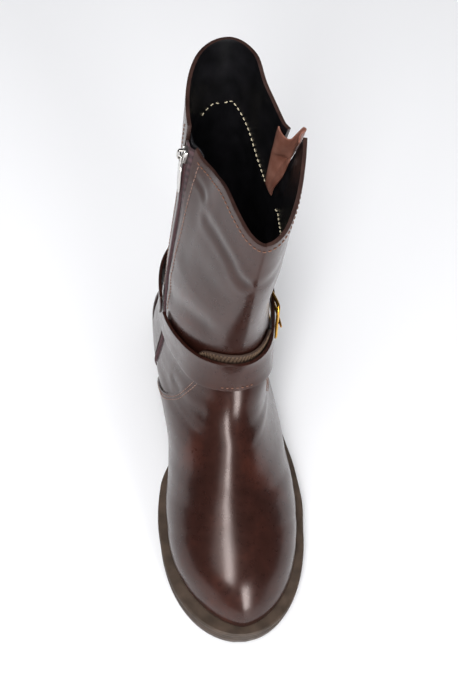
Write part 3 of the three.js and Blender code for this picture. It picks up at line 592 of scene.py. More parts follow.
def dry_leather(name, dark, light, roughness, depth=0.06):
    """Leather with no glaze, such as a lining: a cloudy tint over a fine grain of a depth."""
    material, tree = new_material(name)
    where = add_node(tree, "ShaderNodeTexCoord").outputs["Object"]
    cloud = add_node(
        tree, "ShaderNodeTexNoise",
        inputs={"Scale": per(9), "Detail": 4}, links={"Vector": where},
    ).outputs["Fac"]
    tint = add_node(
        tree, "ShaderNodeValToRGB", links={"Fac": cloud},
        stops=[(0.3, linear(dark)), (0.75, linear(light))],
    ).outputs["Color"]
    grain = add_node(
        tree, "ShaderNodeTexNoise",
        inputs={"Scale": per(0.6), "Detail": 3}, links={"Vector": where},
    ).outputs["Fac"]
    relief = add_node(
        tree, "ShaderNodeBump", inputs={"Distance": depth * MM}, links={"Height": grain}
    ).outputs["Normal"]
    shader = add_node(
        tree, "ShaderNodeBsdfPrincipled", inputs={"Roughness": roughness, "IOR": 1.5},
        links={"Base Color": tint, "Normal": relief},
    )
    add_node(tree, "ShaderNodeOutputMaterial", links={"Surface": shader.outputs["BSDF"]})
    return material


hide = glazed_leather("glazed leather", "#1a0a06", "#2b1510", "#4a241a")
lining = dry_leather("lining leather", "#08080a", "#19181b", 0.38)
facing = dry_leather("facing leather", "#74483a", "#94685a", 0.5)
edge_paint = dry_leather("folded edge", "#24130f", "#3e2923", 0.35, depth=0.03)
sock = dry_leather("sock lining", "#0c0d10", "#16181b", 0.7)
print("leathers:", [m.name for m in bpy.data.materials])

# %% [markdown]
# The sole is moulded in one piece from a brown rubber compound: matt, a little dusty, with a
# fine speckle from the mould. The zip is polyester tape and a nylon coil, its slider is plated
# zinc, and the buckle is brass with a gilt wash. Thread is waxed polyester.

# %% Materials: rubber, cloth, metal, thread


def moulded_rubber(name, dark, light):
    """Matt rubber with the speckle of its mould."""
    material, tree = new_material(name)
    where = add_node(tree, "ShaderNodeTexCoord").outputs["Object"]
    dust = add_node(
        tree, "ShaderNodeTexNoise",
        inputs={"Scale": per(9), "Detail": 6}, links={"Vector": where},
    ).outputs["Fac"]
    tint = add_node(
        tree, "ShaderNodeValToRGB", links={"Fac": dust},
        stops=[(0.35, linear(dark)), (0.68, linear(light))],
    ).outputs["Color"]
    speckle = add_node(
        tree, "ShaderNodeTexNoise", inputs={"Scale": per(0.5)}, links={"Vector": where}
    ).outputs["Fac"]
    relief = add_node(
        tree, "ShaderNodeBump", inputs={"Distance": 0.06 * MM}, links={"Height": speckle}
    ).outputs["Normal"]
    shader = add_node(
        tree, "ShaderNodeBsdfPrincipled", inputs={"Roughness": 0.62, "IOR": 1.52},
        links={"Base Color": tint, "Normal": relief},
    )
    add_node(tree, "ShaderNodeOutputMaterial", links={"Surface": shader.outputs["BSDF"]})
    return material


def woven_tape(name, dark, light, pitch):
    """Twill tape: fine diagonal ribs with painted shade in their grooves, and a little sheen from
    loose fibres.
    """
    material, tree = new_material(name)
    where = add_node(tree, "ShaderNodeTexCoord").outputs["Object"]
    # A diagonal wave turns ten radians for each unit of x, y and z. The real twill is finer than
    # a millimetre: its ribs are drawn wider, so that they show.
    rib_share = 2 * math.pi / (10 * math.sqrt(3))
    ribs = add_node(
        tree, "ShaderNodeTexWave", {"bands_direction": "DIAGONAL"},
        inputs={"Scale": rib_share * per(pitch), "Distortion": 0.4}, links={"Vector": where},
    ).outputs["Fac"]
    # Painted shade: the tint follows the ribs' height, dark in the grooves and light on the crests.
    tint = add_node(
        tree, "ShaderNodeValToRGB", links={"Fac": ribs},
        stops=[(0.0, linear(dark)), (1.0, linear(light))],
    ).outputs["Color"]
    relief = add_node(
        tree, "ShaderNodeBump", inputs={"Distance": 0.12 * MM}, links={"Height": ribs}
    ).outputs["Normal"]
    shader = add_node(
        tree, "ShaderNodeBsdfPrincipled", inputs={"Roughness": 0.75, "Sheen Weight": 0.15},
        links={"Base Color": tint, "Normal": relief},
    )
    add_node(tree, "ShaderNodeOutputMaterial", links={"Surface": shader.outputs["BSDF"]})
    return material


def plated_metal(name, colour, roughness, swell):
    """Bright plating, whose polish leaves shallow waves of a size in its reflections."""
    material, tree = new_material(name)
    where = add_node(tree, "ShaderNodeTexCoord").outputs["Object"]
    waves = add_node(
        tree, "ShaderNodeTexNoise", inputs={"Scale": per(swell)}, links={"Vector": where}
    ).outputs["Fac"]
    relief = add_node(
        tree, "ShaderNodeBump", inputs={"Distance": 0.02 * MM}, links={"Height": waves}
    ).outputs["Normal"]
    shader = add_node(
        tree, "ShaderNodeBsdfPrincipled",
        inputs={"Base Color": linear(colour), "Roughness": roughness, "Metallic": 1.0},
        links={"Normal": relief},
    )
    add_node(tree, "ShaderNodeOutputMaterial", links={"Surface": shader.outputs["BSDF"]})
    return material


def drawn_fibre(name, colour, roughness):
    """Thread or a nylon coil: each strand is too thin to show more than its colour and gloss."""
    material, tree = new_material(name)
    shader = add_node(
        tree, "ShaderNodeBsdfPrincipled",
        inputs={"Base Color": linear(colour), "Roughness": roughness},
    )
    add_node(tree, "ShaderNodeOutputMaterial", links={"Surface": shader.outputs["BSDF"]})
    return material


rubber = moulded_rubber("sole rubber", "#35291f", "#4b3c31")
tape_cloth = woven_tape("zip tape", "#2c1a1d", "#50363a", pitch=3.265)
nylon = drawn_fibre("zip nylon", "#4a3033", 0.35)
zinc = plated_metal("plated zinc", "#cfccc8", 0.2, swell=2.5)
brass = plated_metal("gilt brass", "#d9a441", 0.16, swell=3)
tan_thread = drawn_fibre("tan thread", "#74503f", 0.6)
brown_thread = drawn_fibre("brown thread", "#84695e", 0.55)
cream_thread = drawn_fibre("cream thread", "#d8ccae", 0.6)
tab_thread = drawn_fibre("overcast thread", "#6e5845", 0.75)
tab_leather = dry_leather("overcast tab", "#33241d", "#4a392e", 0.6)
print("materials:", len(bpy.data.materials))

# %% [markdown]
# Worn leather doesn't lie like sheet metal: the shaft slouches in soft folds where the ankle
# bends, and a few lines cross the vamp where the toes do. Each is one row of a table: where it
# runs on the skin, how wide and how deep. A trough with a slight ridge on each side is pressed
# into every layer that lies there, so the layers stay in order.

# %% Creases and tone
# Each crease: its points as (place, turn), its half width and its depth.
CREASES = (
    (
        ((1.23, -0.445), (1.2, -0.375), (1.2, -0.325), (1.27, -0.245), (1.47, -0.18), (1.6, -0.12)),
        3.8, 0.6,
    ),
    (((0.7, -0.57), (0.73, -0.53), (0.85, -0.5)), 2.4, 0.45),
    (((4.1, -0.54), (3.9, -0.445), (3.77, -0.37), (3.72, -0.27)), 7.5, 0.9),
    (((1.62, -0.1), (1.6, 0.05), (1.45, 0.18), (1.2, 0.3)), 4.5, 0.3),
    (((2.9, 0.63), (2.5, 0.48), (2.3, 0.34)), 5.0, 0.8),
    (((2.6, -0.5), (2.3, -0.38), (2.35, -0.25)), 8.0, 0.3),
    (((8.3, -0.4), (8.6, -0.3), (8.3, -0.2)), 4.0, 0.4),
)
# The ridge beside a crease: its height as a share of the depth, and how many half widths out.
RIDGE_HEIGHT = 0.45
RIDGE_AT = 1.9
# Each patch of tone: place, turn, radius, and how much lighter (+) or darker (-).
TONES = (
    (12.6, 0.22, 12, 0.35),
    (12.25, -0.28, 12, 0.3),
    (19.6, -0.2, 16, 0.15),
    (14.4, 0.34, 14, 0.2),
    (3.9, -0.4, 14, 0.2),
    (2.6, -0.06, 10, -0.1),
)
# Painted shade: how much darker the hide is painted where a crease's trough sinks in.
PAINTED_CREASE_SHADE = 0.25


def distance_to_line(points, line):
    """Distance from each point to a polyline."""
    flat = points.reshape(-1, 3)
    best = np.full(len(flat), 1e9)
    for a, b in zip(line[:-1], line[1:]):
        span = b - a
        share = np.clip((flat - a) @ span / max(span @ span, 1e-9), 0, 1)
        best = np.minimum(best, np.linalg.norm(flat - a - share[:, None] * span, axis=1))
    return best.reshape(points.shape[:-1])


def relief_at(points):
    """How far the creases push the skin out there, in millimetres."""
    total = np.zeros(points.shape[:-1])
    for path, width, depth in CREASES:
        places, turns = np.array(path).T
        line = spline(upper_point(places, turns), 24)
        reach = distance_to_line(points, line) / width
        total += depth * (-np.exp(-reach**2) + RIDGE_HEIGHT * np.exp(-(reach - RIDGE_AT) ** 2))
    return total


def tone_and_crease_shade_at(points):
    """How much lighter or darker the hide is painted there: the listed patches, with painted shade
    in the creases' troughs.
    """
    total = np.zeros(points.shape[:-1])
    for place, turn, radius, amount in TONES:
        reach = np.linalg.norm(points - upper_point(place, turn), axis=-1) / radius
        total += amount * np.exp(-reach**2)
    # Painted shade in the troughs of the creases.
    return total - PAINTED_CREASE_SHADE * np.clip(-relief_at(points), 0, 1)


def on_upper(place, turn, out=0.0):
    """Points on the creased skin, pushed out by a distance."""
    points = upper_point(place, turn)
    lift = relief_at(points) + out
    return points + upper_normal(place, turn) * lift[..., None]


print("creases:", len(CREASES))

# %% [markdown]
# The zip runs down the inner side and the slit opens the collar on the outer one. Where they
# cross each section of the fan is found once, and the columns of the upper's grid are bent to
# follow both, so their edges come out clean.

# %% Openings in the upper
ZIP_NAMES = ("z", "y")
ZIP_LINE = (
    (262, 53.5), (240, 52.8), (200, 51.6), (160, 51), (120, 50.5), (80, 51.5), (50, 54.5), (36, 57),
)
ZIP_TOP = 248
ZIP_FOOT = 37
ZIP_GAP = 10
TAPE_THICKNESS = 0.9
SLIT_NAMES = ("z", "front", "rear")
SLIT = ((290, 32, 57), (262, 39, 56.8), (244, 47.5, 58), (208, 58.4, 59.6))
SLIT_FOOT = 208


def zip_at(z):
    """Y of the zip's middle line at a height."""
    return read(ZIP_LINE, ZIP_NAMES, "y", z)


def crossing(places, side, edge):
    """Turn at which each section crosses an edge, given as y for a height."""
    turns = np.linspace(0.05, 0.98, 480)
    points = upper_point(places[:, None], side * turns[None, :])
    heights = points[..., 2]
    ahead = points[..., 1] - edge(heights)
    found = np.argmax(ahead > 0, axis=1)
    found = np.where(found == 0, len(turns) - 1, found)
    row = np.arange(len(places))
    before, after = ahead[row, found - 1], ahead[row, found]
    share = np.clip(-before / np.where(after == before, 1, after - before), 0, 1)
    turn = turns[found - 1] + share * (turns[1] - turns[0])
    height = heights[row, found - 1] + share * (heights[row, found] - heights[row, found - 1])
    return turn, height


def opening(places, side, front, rear, foot):
    """Turns of an opening's two edges at each place, held still below its foot, and the foot."""
    first, height = crossing(places, side, front)
    second, _ = crossing(places, side, rear)
    foot_place = np.interp(-foot, -height, places)
    first = np.where(places > foot_place, np.interp(foot_place, places, first), first)
    second = np.where(places > foot_place, np.interp(foot_place, places, second), second)
    return first, second, foot_place


sample = np.linspace(0, 12.2, 200)
zip_front, zip_rear, zip_foot_place = opening(
    sample, -1, lambda z: zip_at(z) - ZIP_GAP / 2, lambda z: zip_at(z) + ZIP_GAP / 2, ZIP_FOOT
)
slit_front, slit_rear, slit_foot_place = opening(
    sample, 1,
    lambda z: read(SLIT, SLIT_NAMES, "front", z), lambda z: read(SLIT, SLIT_NAMES, "rear", z),
    SLIT_FOOT,
)
print("zip ends at place", round(float(zip_foot_place), 2))
print("slit ends at place", round(float(slit_foot_place), 2))

# %% [markdown]
# The quarters and the shaft are one skin here, lined with black leather and folded over at the
# collar, where a lighter edge shows. On the real boot they are closed over a last and their
# edges turned in; a sheet with thickness and a rounded rim gives the same form and edge.

# %% Upper
FRONT_COLUMNS = 46
REAR_COLUMNS = 26
UPPER_ROWS = 176
TINY = 1e-6


def even_places(start, end, count):
    """Places that are evenly spaced along the front line."""
    fine = np.linspace(start, end, 600)
    line = upper_point(fine, 0.0)
    length = np.concatenate([[0], np.cumsum(np.linalg.norm(np.diff(line, axis=0), axis=1))])
    return np.interp(np.linspace(0, length[-1], count), length, fine)


rows = even_places(0, LAST_PLACE, UPPER_ROWS)
rows = np.array(sorted([*rows, float(zip_foot_place), float(slit_foot_place), float(FIRST_OPEN)]))


def columns_of(front, rear, side, at):
    """Turns of the columns on one side, bent to follow an opening."""
    first = np.interp(at, sample, front)[:, None]
    second = np.interp(at, sample, rear)[:, None]
    ahead = np.linspace(0, 1, FRONT_COLUMNS)[None, :] * first
    inside = first + (second - first) * 0.5
    behind = second + (1 - second) * np.linspace(0, 1, REAR_COLUMNS)[None, :]
    return side * np.hstack([ahead, inside, behind])


medial = columns_of(zip_front, zip_rear, -1, rows)
lateral = columns_of(slit_front, slit_rear, 1, rows)
turns = np.hstack([medial[:, :0:-1], lateral])
place_grid = np.repeat(rows[:, None], turns.shape[1], 1)
skin_points = on_upper(place_grid, turns)
keep = np.ones((len(rows) - 1, turns.shape[1] - 1), bool)
middle_row = (rows[:-1] + rows[1:]) / 2
side_count = FRONT_COLUMNS + REAR_COLUMNS
zip_columns = slice(side_count - FRONT_COLUMNS - 1, side_count - FRONT_COLUMNS + 1)
slit_columns = slice(side_count + FRONT_COLUMNS - 1, side_count + FRONT_COLUMNS + 1)
keep[middle_row < zip_foot_place, zip_columns] = False
keep[middle_row < slit_foot_place, slit_columns] = False
upper = make_piece(
    "upper_shell",
    skin_points,
    grid_faces(len(rows), turns.shape[1], keep, wrap_rows=rows <= FIRST_OPEN + TINY),
    [hide, lining, edge_paint],
    slot="glazed_leather",
    stands_for=["upper"],
    tone=tone_and_crease_shade_at(skin_points),
)
thicken(upper, WALL, bevel=0.8, inner=1, rim=2)
print("upper shell:", len(upper.data.vertices), "points")

# %% [markdown]
# The vamp is a second layer, cut as one bow from under the ankle strap down to the heel on each
# side and stitched over the quarters with a double row. Its grid runs between that bow's two
# edges, so the lap has a true thickness and a round cut edge.

# %% Vamp
VAMP_NAMES = ("z", "y")
VAMP_EDGE = (
    (112, 2), (92, 4.5), (76, 8), (63.5, 14.5), (54, 23), (47, 32.5), (40, 43), (30, 52), (20, 55),
)
VAMP_LAP = 1.3
VAMP_THICKNESS = 1.2
VAMP_TOP = 5.85
VAMP_ROWS = 120
VAMP_COLUMNS = 60
VAMP_OFF_SOLE = 0.25


def vamp_edge(z, inset):
    """Y of the vamp's edge at a height, drawn forward by an inset."""
    return read(VAMP_EDGE, VAMP_NAMES, "y", z) - inset


def vamp_turn(places, side, inset=0.0):
    """Turn at which each section crosses the vamp's edge; 1 where it ends ahead of it."""
    turn, _ = crossing(places, side, lambda z: vamp_edge(z, inset))
    ends = upper_point(places, float(side))
    ends_ahead = ends[..., 1] < vamp_edge(ends[..., 2], inset)
    return np.where(ends_ahead, 1.0, turn)


vamp_rows = even_places(VAMP_TOP, LAST_PLACE, VAMP_ROWS)
vamp_sample = np.linspace(VAMP_TOP, LAST_PLACE, 300)
vamp_in = vamp_turn(vamp_sample, -1)
vamp_out = vamp_turn(vamp_sample, 1)
share = np.linspace(0, 1, VAMP_COLUMNS)[None, :]
inner_turns = -np.interp(vamp_rows, vamp_sample, vamp_in)[:, None] * share
outer_turns = np.interp(vamp_rows, vamp_sample, vamp_out)[:, None] * share
vamp_turns = np.hstack([inner_turns[:, :0:-1], outer_turns])
vamp_places = np.repeat(vamp_rows[:, None], vamp_turns.shape[1], 1)
vamp_points = on_upper(vamp_places, vamp_turns, VAMP_LAP)
sole_level = sole_top(vamp_points[..., 1]) + VAMP_OFF_SOLE
vamp_points[..., 2] = np.maximum(vamp_points[..., 2], sole_level)
vamp = make_piece(
    "vamp", vamp_points, grid_faces(len(vamp_rows), vamp_turns.shape[1]), [hide],
    slot="glazed_leather", stands_for=["upper"], tone=tone_and_crease_shade_at(vamp_points),
)
thicken(vamp, VAMP_THICKNESS, bevel=0.5)
print("vamp:", len(vamp.data.vertices), "points; edge turns", np.round(vamp_in[::60], 2))

# %% [markdown]
# The outsole is one moulded unit with a low heel. Three ribs run round its side below the ledge,
# and lugs cross the tread. It is drawn as rings that follow the plan, one per level of the side
# wall, over a tread that is a height for each spot of the plan.

# %% Outsole
# Each level of the side wall: how far below the ledge it lies, and how far in.
SOLE_WALL = (
    (0, 1.1), (0.25, 0.5), (0.7, 0.1), (1.1, 0), (2.1, 0), (2.4, 0.15), (2.7, 0.7), (3.1, 0.9),
    (3.5, 0.7), (3.8, 0.15), (4.1, 0), (4.9, 0), (5.2, 0.15), (5.5, 0.7), (5.9, 0.9), (6.3, 0.7),
    (6.6, 0.25), (7.0, 0.1),
)
# Below the ribs the wall draws in, and turns round a small edge into the tread.
LOW_LEVELS = 7
LOW_TAPER = 0.9
EDGE_FROM = 0.84
EDGE_RISE = 0.35
EDGE_INSET = 0.7
TREAD_WIDTH = 3.0
TREAD_DEPTH = 2.4
TREAD_RIM = 7.0
TREAD_GROOVES = (-108, -96, -84, -72, -48, -36, -24, 70, 82, 112, 122)
GROOVE_SLOPE = 0.15
BREAST_SLOPE = 4.0
EVEN_SHARE = 0.35
SMALLEST_STEP = 0.04
TOP_COLUMNS = 12
TREAD_COLUMNS = 34


def sole_bottom(y):
    """Height of the underside, with the heel under its back part."""
    into_heel = np.clip((y - BREAST_Y) / BREAST_SLOPE, 0, 1)
    return sole_under(np.minimum(y, BREAST_Y)) * (1 - into_heel)


def sole_stations():
    """Places along the sole, close together at both round ends and at every groove edge."""
    even = 1 - 2 * np.linspace(0, 1, 131)
    eased = np.sin(even * math.pi / 2)
    spread = EVEN_SHARE * even + (1 - EVEN_SHARE) * eased
    stations = list((FRONT_Y + BACK_Y) / 2 + (BACK_Y - FRONT_Y) / 2 * spread)
    for y in TREAD_GROOVES:
        for edge in (y - TREAD_WIDTH / 2, y + TREAD_WIDTH / 2):
            stations += [edge - GROOVE_SLOPE, edge + GROOVE_SLOPE]
    stations += [BREAST_Y, BREAST_Y + BREAST_SLOPE]
    stations = np.sort(np.array(stations))
    return stations[np.concatenate([[True], np.diff(stations) > SMALLEST_STEP])]


def plan_ring(y, inset, z):
    """One closed ring round the plan: medial side from toe to heel, lateral side back."""
    middle, half = plan_at(y, inset)
    medial_side = np.stack([middle - half, y, z], -1)
    lateral_side = np.stack([middle + half, y, z], -1)[::-1]
    return np.vstack([medial_side, lateral_side[1:-1]])


stations = sole_stations()
shares = (stations - FRONT_Y) / (BACK_Y - FRONT_Y)


def sole_ring(inset, level):
    """A ring of the sole's side wall, drawn in by an inset; level gives its height at y."""
    y = FRONT_Y + inset + shares * (BACK_Y - FRONT_Y - 2 * inset)
    return plan_ring(y, inset, level(y))


def wall_of(rings, downwards):
    """Points and faces of a wall through rings of equal count, facing out."""
    count = len(rings[0])
    faces = []
    for k in range(len(rings) - 1):
        for i in range(count):
            a = k * count + i
            b = k * count + (i + 1) % count
            faces.append((a, b, b + count, a + count) if downwards else (a, a + count, b + count, b))
    return np.vstack(rings), faces


rings = [sole_ring(inset, lambda y: sole_top(y) - down) for down, inset in SOLE_WALL]
last_down, last_inset = SOLE_WALL[-1]


def lower_level(y, part):
    """Height of the wall below its ribs, a part of the way down to the underside."""
    rise = EDGE_RISE if EDGE_FROM < part < 1 else 0
    return (1 - part) * (sole_top(y) - last_down) + part * sole_bottom(y) + rise


for step in range(1, LOW_LEVELS + 1):
    part = step / LOW_LEVELS
    inset = last_inset + LOW_TAPER * part + (EDGE_INSET if step == LOW_LEVELS else 0)
    rings.append(sole_ring(inset, lambda y: lower_level(y, part)))


def sole_floor(ring, height, columns, up):
    """Grid that closes a ring, with a height for each of its points."""
    count = len(stations)
    left = ring[:count]
    right = np.vstack([ring[:1], ring[count:][::-1], ring[count - 1:count]])
    across = np.linspace(0, 1, columns)[None, :, None]
    grid = left[:, None] * (1 - across) + right[:, None] * across
    inner = slice(1, -1)
    grid[inner, inner, 2] = height(grid[inner, inner])
    faces = grid_faces(count, columns)
    return grid.reshape(-1, 3), faces if up else [face[::-1] for face in faces]


def tread_height(points):
    """Underside with its grooves, which stop short of the rim."""
    y = points[..., 1]
    middle, half = plan_at(y, TREAD_RIM)
    inside = np.abs(points[..., 0] - middle) < half
    in_groove = np.zeros(y.shape, bool)
    for groove in TREAD_GROOVES:
        in_groove |= np.abs(y - groove) < TREAD_WIDTH / 2
    return sole_bottom(y) + TREAD_DEPTH * (inside & in_groove)


sole_points, sole_faces = join_shapes([
    wall_of(rings, downwards=True),
    sole_floor(rings[0], lambda p: sole_top(p[..., 1]), TOP_COLUMNS, up=True),
    sole_floor(rings[-1], tread_height, TREAD_COLUMNS, up=False),
])
outsole = make_piece(
    "sole_unit", sole_points, sole_faces, [rubber], slot="sole_rubber", stands_for=["outsole"]
)
sharp = outsole.modifiers.new("sharp lugs", "EDGE_SPLIT")
sharp.split_angle = math.radians(48)
print("outsole:", len(sole_faces), "faces")

# %% [markdown]
# Inside lies a sock: a thin leather insole with a foam core, a little lower than the lining.

# %% Insole
INSOLE_THICKNESS = 3.0
INSOLE_MARGIN = 1.6
INSOLE_CROWN = 0.1
INSOLE_EDGE_DROP = 0.6
INSOLE_EDGE_INSET = 0.8
INSOLE_COLUMNS = 10


def insole_ring(shrink, up):
    """A ring of the sock inside the lining, drawn in by shrink and raised over the sole."""
    ledge = read(PLAN, PLAN_NAMES, "ledge", stations)
    inset = ledge + WALL + INSOLE_MARGIN + shrink
    y = np.clip(stations, FRONT_Y + inset, BACK_Y - inset)
    return plan_ring(y, inset, sole_top(y) + up)


def insole_floor(ring, up, faces_up):
    """The sock's face at a height over the sole."""
    return sole_floor(ring, lambda p: sole_top(p[..., 1]) + up, INSOLE_COLUMNS, faces_up)


insole_top = INSOLE_THICKNESS + INSOLE_CROWN
insole_rings = [
    insole_ring(0, SEAT_GAP),
    insole_ring(0, INSOLE_THICKNESS - INSOLE_EDGE_DROP),
    insole_ring(INSOLE_EDGE_INSET, insole_top),
]
insole_points, insole_faces = join_shapes([
    wall_of(insole_rings, downwards=False),
    insole_floor(insole_rings[-1], insole_top, True),
    insole_floor(insole_rings[0], SEAT_GAP, False),
])
make_piece(
    "sock", insole_points, insole_faces, [sock], slot="sock_lining", stands_for=["insole"]
)
print("insole:", len(insole_faces), "faces")

# %% [markdown]
# The ankle strap is one belt in two lengths. The rear one is stitched in beside the zip, runs
# round the heel and holds the buckle; the front one comes round the instep, passes through the
# buckle and ends on the rear one. Both stand a little off the skin, more at their upper edge.

# %% Ankle strap
STRAP_THICKNESS = 2.0
EDGE_NAMES = ("y", "z")
FRONT_UPPER = (
    (-24, 129), (-9, 126.5), (6, 123), (25, 118.5), (46, 114.5), (66, 114), (76, 111), (84, 101),
)
FRONT_LOWER = (
    (-24, 104), (-14, 103.5), (-1, 98.5), (22, 94), (46, 89.5), (66, 88.5), (76, 91), (84, 101),
)
REAR_UPPER = ((40, 115), (62, 116), (80, 115.5), (98, 114.5), (140, 113))
REAR_LOWER = ((40, 89), (62, 90), (80, 89.5), (98, 88.5), (140, 87))
LIFT_NAMES = ("turn", "rear", "front")
LIFT = (
    (-1, 3, 1), (-0.8, 3.2, 1), (-0.64, 1.2, 1), (-0.3, 1.2, 2.4), (0, 1.2, 2.8), (0.3, 1, 2),
    (0.5, 1, 1.6), (0.8, 2.6, 4), (1, 3, 4),
)
# The front belt climbs the vamp's lap, and further back the rear belt, each over a short run.
LAP_FROM = 18.0
LAP_RUN = 14.0
OVER_RUN = 12.0
OVER_BEFORE_BUCKLE = 4.0
OVER_CLEARANCE = 0.2
BUCKLE_Y = 46.0
BUCKLE_Z = 101.5
BUCKLE_LENGTH = 22.0
BUCKLE_HEIGHT = 33.0
BUCKLE_ROD = 1.15
PRONG = 0.85


def edge_height(edge, y):
    """Height of a strap's edge at y."""
    return read(edge, EDGE_NAMES, "z", y)


def strap_lift(points, turn, lower, upper_edge, close, name):
    """Stand-off of a strap: close at its lower edge and lifting towards its upper one."""
    low = edge_height(lower, points[..., 1])
    high = edge_height(upper_edge, points[..., 1])
    part = np.clip((points[..., 2] - low) / np.maximum(high - low, 1), 0, 1.2)
    wide = read(LIFT, LIFT_NAMES, name, turn)
    return close + (wide - close) * part


def rear_lift(points, turn):
    """Stand-off of the rear strap, which lies on the skin."""
    return strap_lift(points, turn, REAR_LOWER, REAR_UPPER, 0.5, "rear")


def front_lift(points, turn):
    """Stand-off of the front strap, over the skin, the vamp's lap and the rear strap."""
    base = strap_lift(points, turn, FRONT_LOWER, FRONT_UPPER, 0.4, "front")
    base = base + VAMP_LAP * np.clip((LAP_FROM - points[..., 1]) / LAP_RUN, 0, 1)
    behind = points[..., 1] - BUCKLE_Y + OVER_BEFORE_BUCKLE
    part = np.clip(behind / OVER_RUN, 0, 1) * (turn >= 0)
    over = rear_lift(points, turn) + STRAP_THICKNESS + SEAT_GAP + OVER_CLEARANCE
    return base * (1 - part) + over * part


def place_at_edge(turn, edge):
    """Place at which each turn's line reaches an edge, given as z for a y."""
    places = np.linspace(2.5, 10, 500)
    points = upper_point(places[None, :], np.asarray(turn)[:, None])
    above = points[..., 2] - edge_height(edge, points[..., 1])
    found = np.clip(np.argmax(above < 0, axis=1), 1, len(places) - 1)
    row = np.arange(len(turn))
    before, after = above[row, found - 1], above[row, found]
    part = np.clip(before / np.where(before == after, 1, before - after), 0, 1)
    return places[found - 1] + part * (places[1] - places[0])


def solve_skin(side, y, z):
    """Place and turn of the skin at spots of the side view, found by damped steps."""
    y, z = np.broadcast_arrays(np.asarray(y, float), np.asarray(z, float))
    place = np.where(z > 140, 3.0, 6.0)
    turn = np.full(y.shape, side * 0.55)
    step = 0.01
    damping = 0.7
    for _ in range(40):
        here = upper_point(place, turn)
        by_place = (upper_point(place + step, turn) - here) / step
        by_turn = (upper_point(place, turn + step) - here) / step
        dy, dz = y - here[..., 1], z - here[..., 2]
        det = by_place[..., 1] * by_turn[..., 2] - by_place[..., 2] * by_turn[..., 1]
        det = np.where(np.abs(det) < TINY, TINY, det)
        place = place + damping * (dy * by_turn[..., 2] - dz * by_turn[..., 1]) / det
        turn = turn + damping * (by_place[..., 1] * dz - by_place[..., 2] * dy) / det
        place = np.clip(place, 0, 12)
        turn = side * np.clip(side * turn, 0.02, 0.97)
    return place, turn


def turn_at(side, y, z):
    """Turn of the skin at one spot of the side view."""
    return solve_skin(side, np.atleast_1d(float(y)), np.atleast_1d(float(z)))[1][0]


def skin(side, y, z, out):
    """Points of the skin at spots of the side view, pushed out by a distance."""
    place, turn = solve_skin(side, y, z)
    out = np.broadcast_to(np.asarray(out, float), place.shape)
    return upper_point(place, turn) + upper_normal(place, turn) * out[..., None]


def seam_normal(place, turn):
    """Outward normal, shared by both sides where they meet at the back line."""
    normal = upper_normal(place, turn)
    mirror = upper_normal(place, -turn)
    near = np.clip((np.abs(turn) - 0.97) / 0.03, 0, 1)[..., None]
    return unit(normal * (1 - near / 2) + mirror * near / 2)


def strap_grid(turn, lower, upper_edge, parts, lift_of):
    """Grid of a strap's outer face: columns by turn, rows from its upper to its lower edge."""
    high = place_at_edge(turn, upper_edge)
    low = place_at_edge(turn, lower)
    place = high[None, :] + (low - high)[None, :] * parts[:, None]
    turns_here = np.repeat(np.asarray(turn)[None, :], len(parts), 0)
    points = upper_point(place, turns_here)
    out = lift_of(points, turns_here) + STRAP_THICKNESS
    return points + seam_normal(place, turns_here) * out[..., None]


STRAP_TONE = 0.05
SEAM_AT_ZIP = 1.0
TIP_RUN = 0.12
HOLE_PARTS = (0.42, 0.59)
HOLE_FROM_Y = 47.0
HOLE_TO_Y = 58.5
TIP_Y = 83.9


def strap_belt(name, points, faces, stands_for):
    """A belt from its outer face's grid, a shade lighter than the upper and rounded."""
    belt = make_piece(
        name, points, faces, [hide], slot="glazed_leather", stands_for=stands_for,
        tone=np.full(points.shape[:-1], STRAP_TONE),
    )
    thicken(belt, STRAP_THICKNESS, bevel=0.6)


strap_parts = np.sort(np.concatenate([np.linspace(0, 1, 15), HOLE_PARTS]))
medial_end = -turn_at(-1, zip_at(105)[0] - ZIP_GAP / 2 - SEAM_AT_ZIP, 105)
hole_from, hole_to = (turn_at(1, y, BUCKLE_Z) for y in (HOLE_FROM_Y, HOLE_TO_Y))
tip_turn = turn_at(1, TIP_Y, 101)
front_turns = np.sort(np.concatenate([
    np.linspace(-medial_end, 0, 46)[:-1],
    np.linspace(0, tip_turn - TIP_RUN, 52),
    tip_turn - TIP_RUN * (1 - np.sin(np.linspace(0, 1, 16)[1:] * math.pi / 2)),
    [hole_from, hole_to],
]))
in_hole_rows = (strap_parts[:-1] >= HOLE_PARTS[0] - TINY) & (strap_parts[1:] <= HOLE_PARTS[1] + TINY)
in_hole_columns = (front_turns[:-1] >= hole_from - TINY) & (front_turns[1:] <= hole_to + TINY)
in_hole = in_hole_rows[:, None] & in_hole_columns[None, :]
strap_belt(
    "strap_front_belt",
    strap_grid(front_turns, FRONT_LOWER, FRONT_UPPER, strap_parts, front_lift),
    grid_faces(len(strap_parts), len(front_turns), ~in_hole),
    ["strap_front"],
)

rear_start = -turn_at(-1, zip_at(100)[0] + ZIP_GAP / 2 + SEAM_AT_ZIP, 101)
rear_end = turn_at(1, BUCKLE_Y + BUCKLE_LENGTH / 2 + BUCKLE_ROD + 3 * SEAT_GAP, 102)
rear_turns = np.concatenate([
    -np.linspace(rear_start, 1, 32), np.linspace(1, rear_end, 32)[1:],
])
rear_parts = np.linspace(0, 1, 13)
strap_belt(
    "strap_rear_belt",
    strap_grid(rear_turns, REAR_LOWER, REAR_UPPER, rear_parts, rear_lift),
    [face[::-1] for face in grid_faces(len(rear_parts), len(rear_turns))],
    ["strap_rear"],
)
print("strap ends at turns", round(float(tip_turn), 3), round(float(rear_start), 3))

# %% [markdown]
# Behind the strap, at the front of the ankle, stands a short tab with an overcast edge.

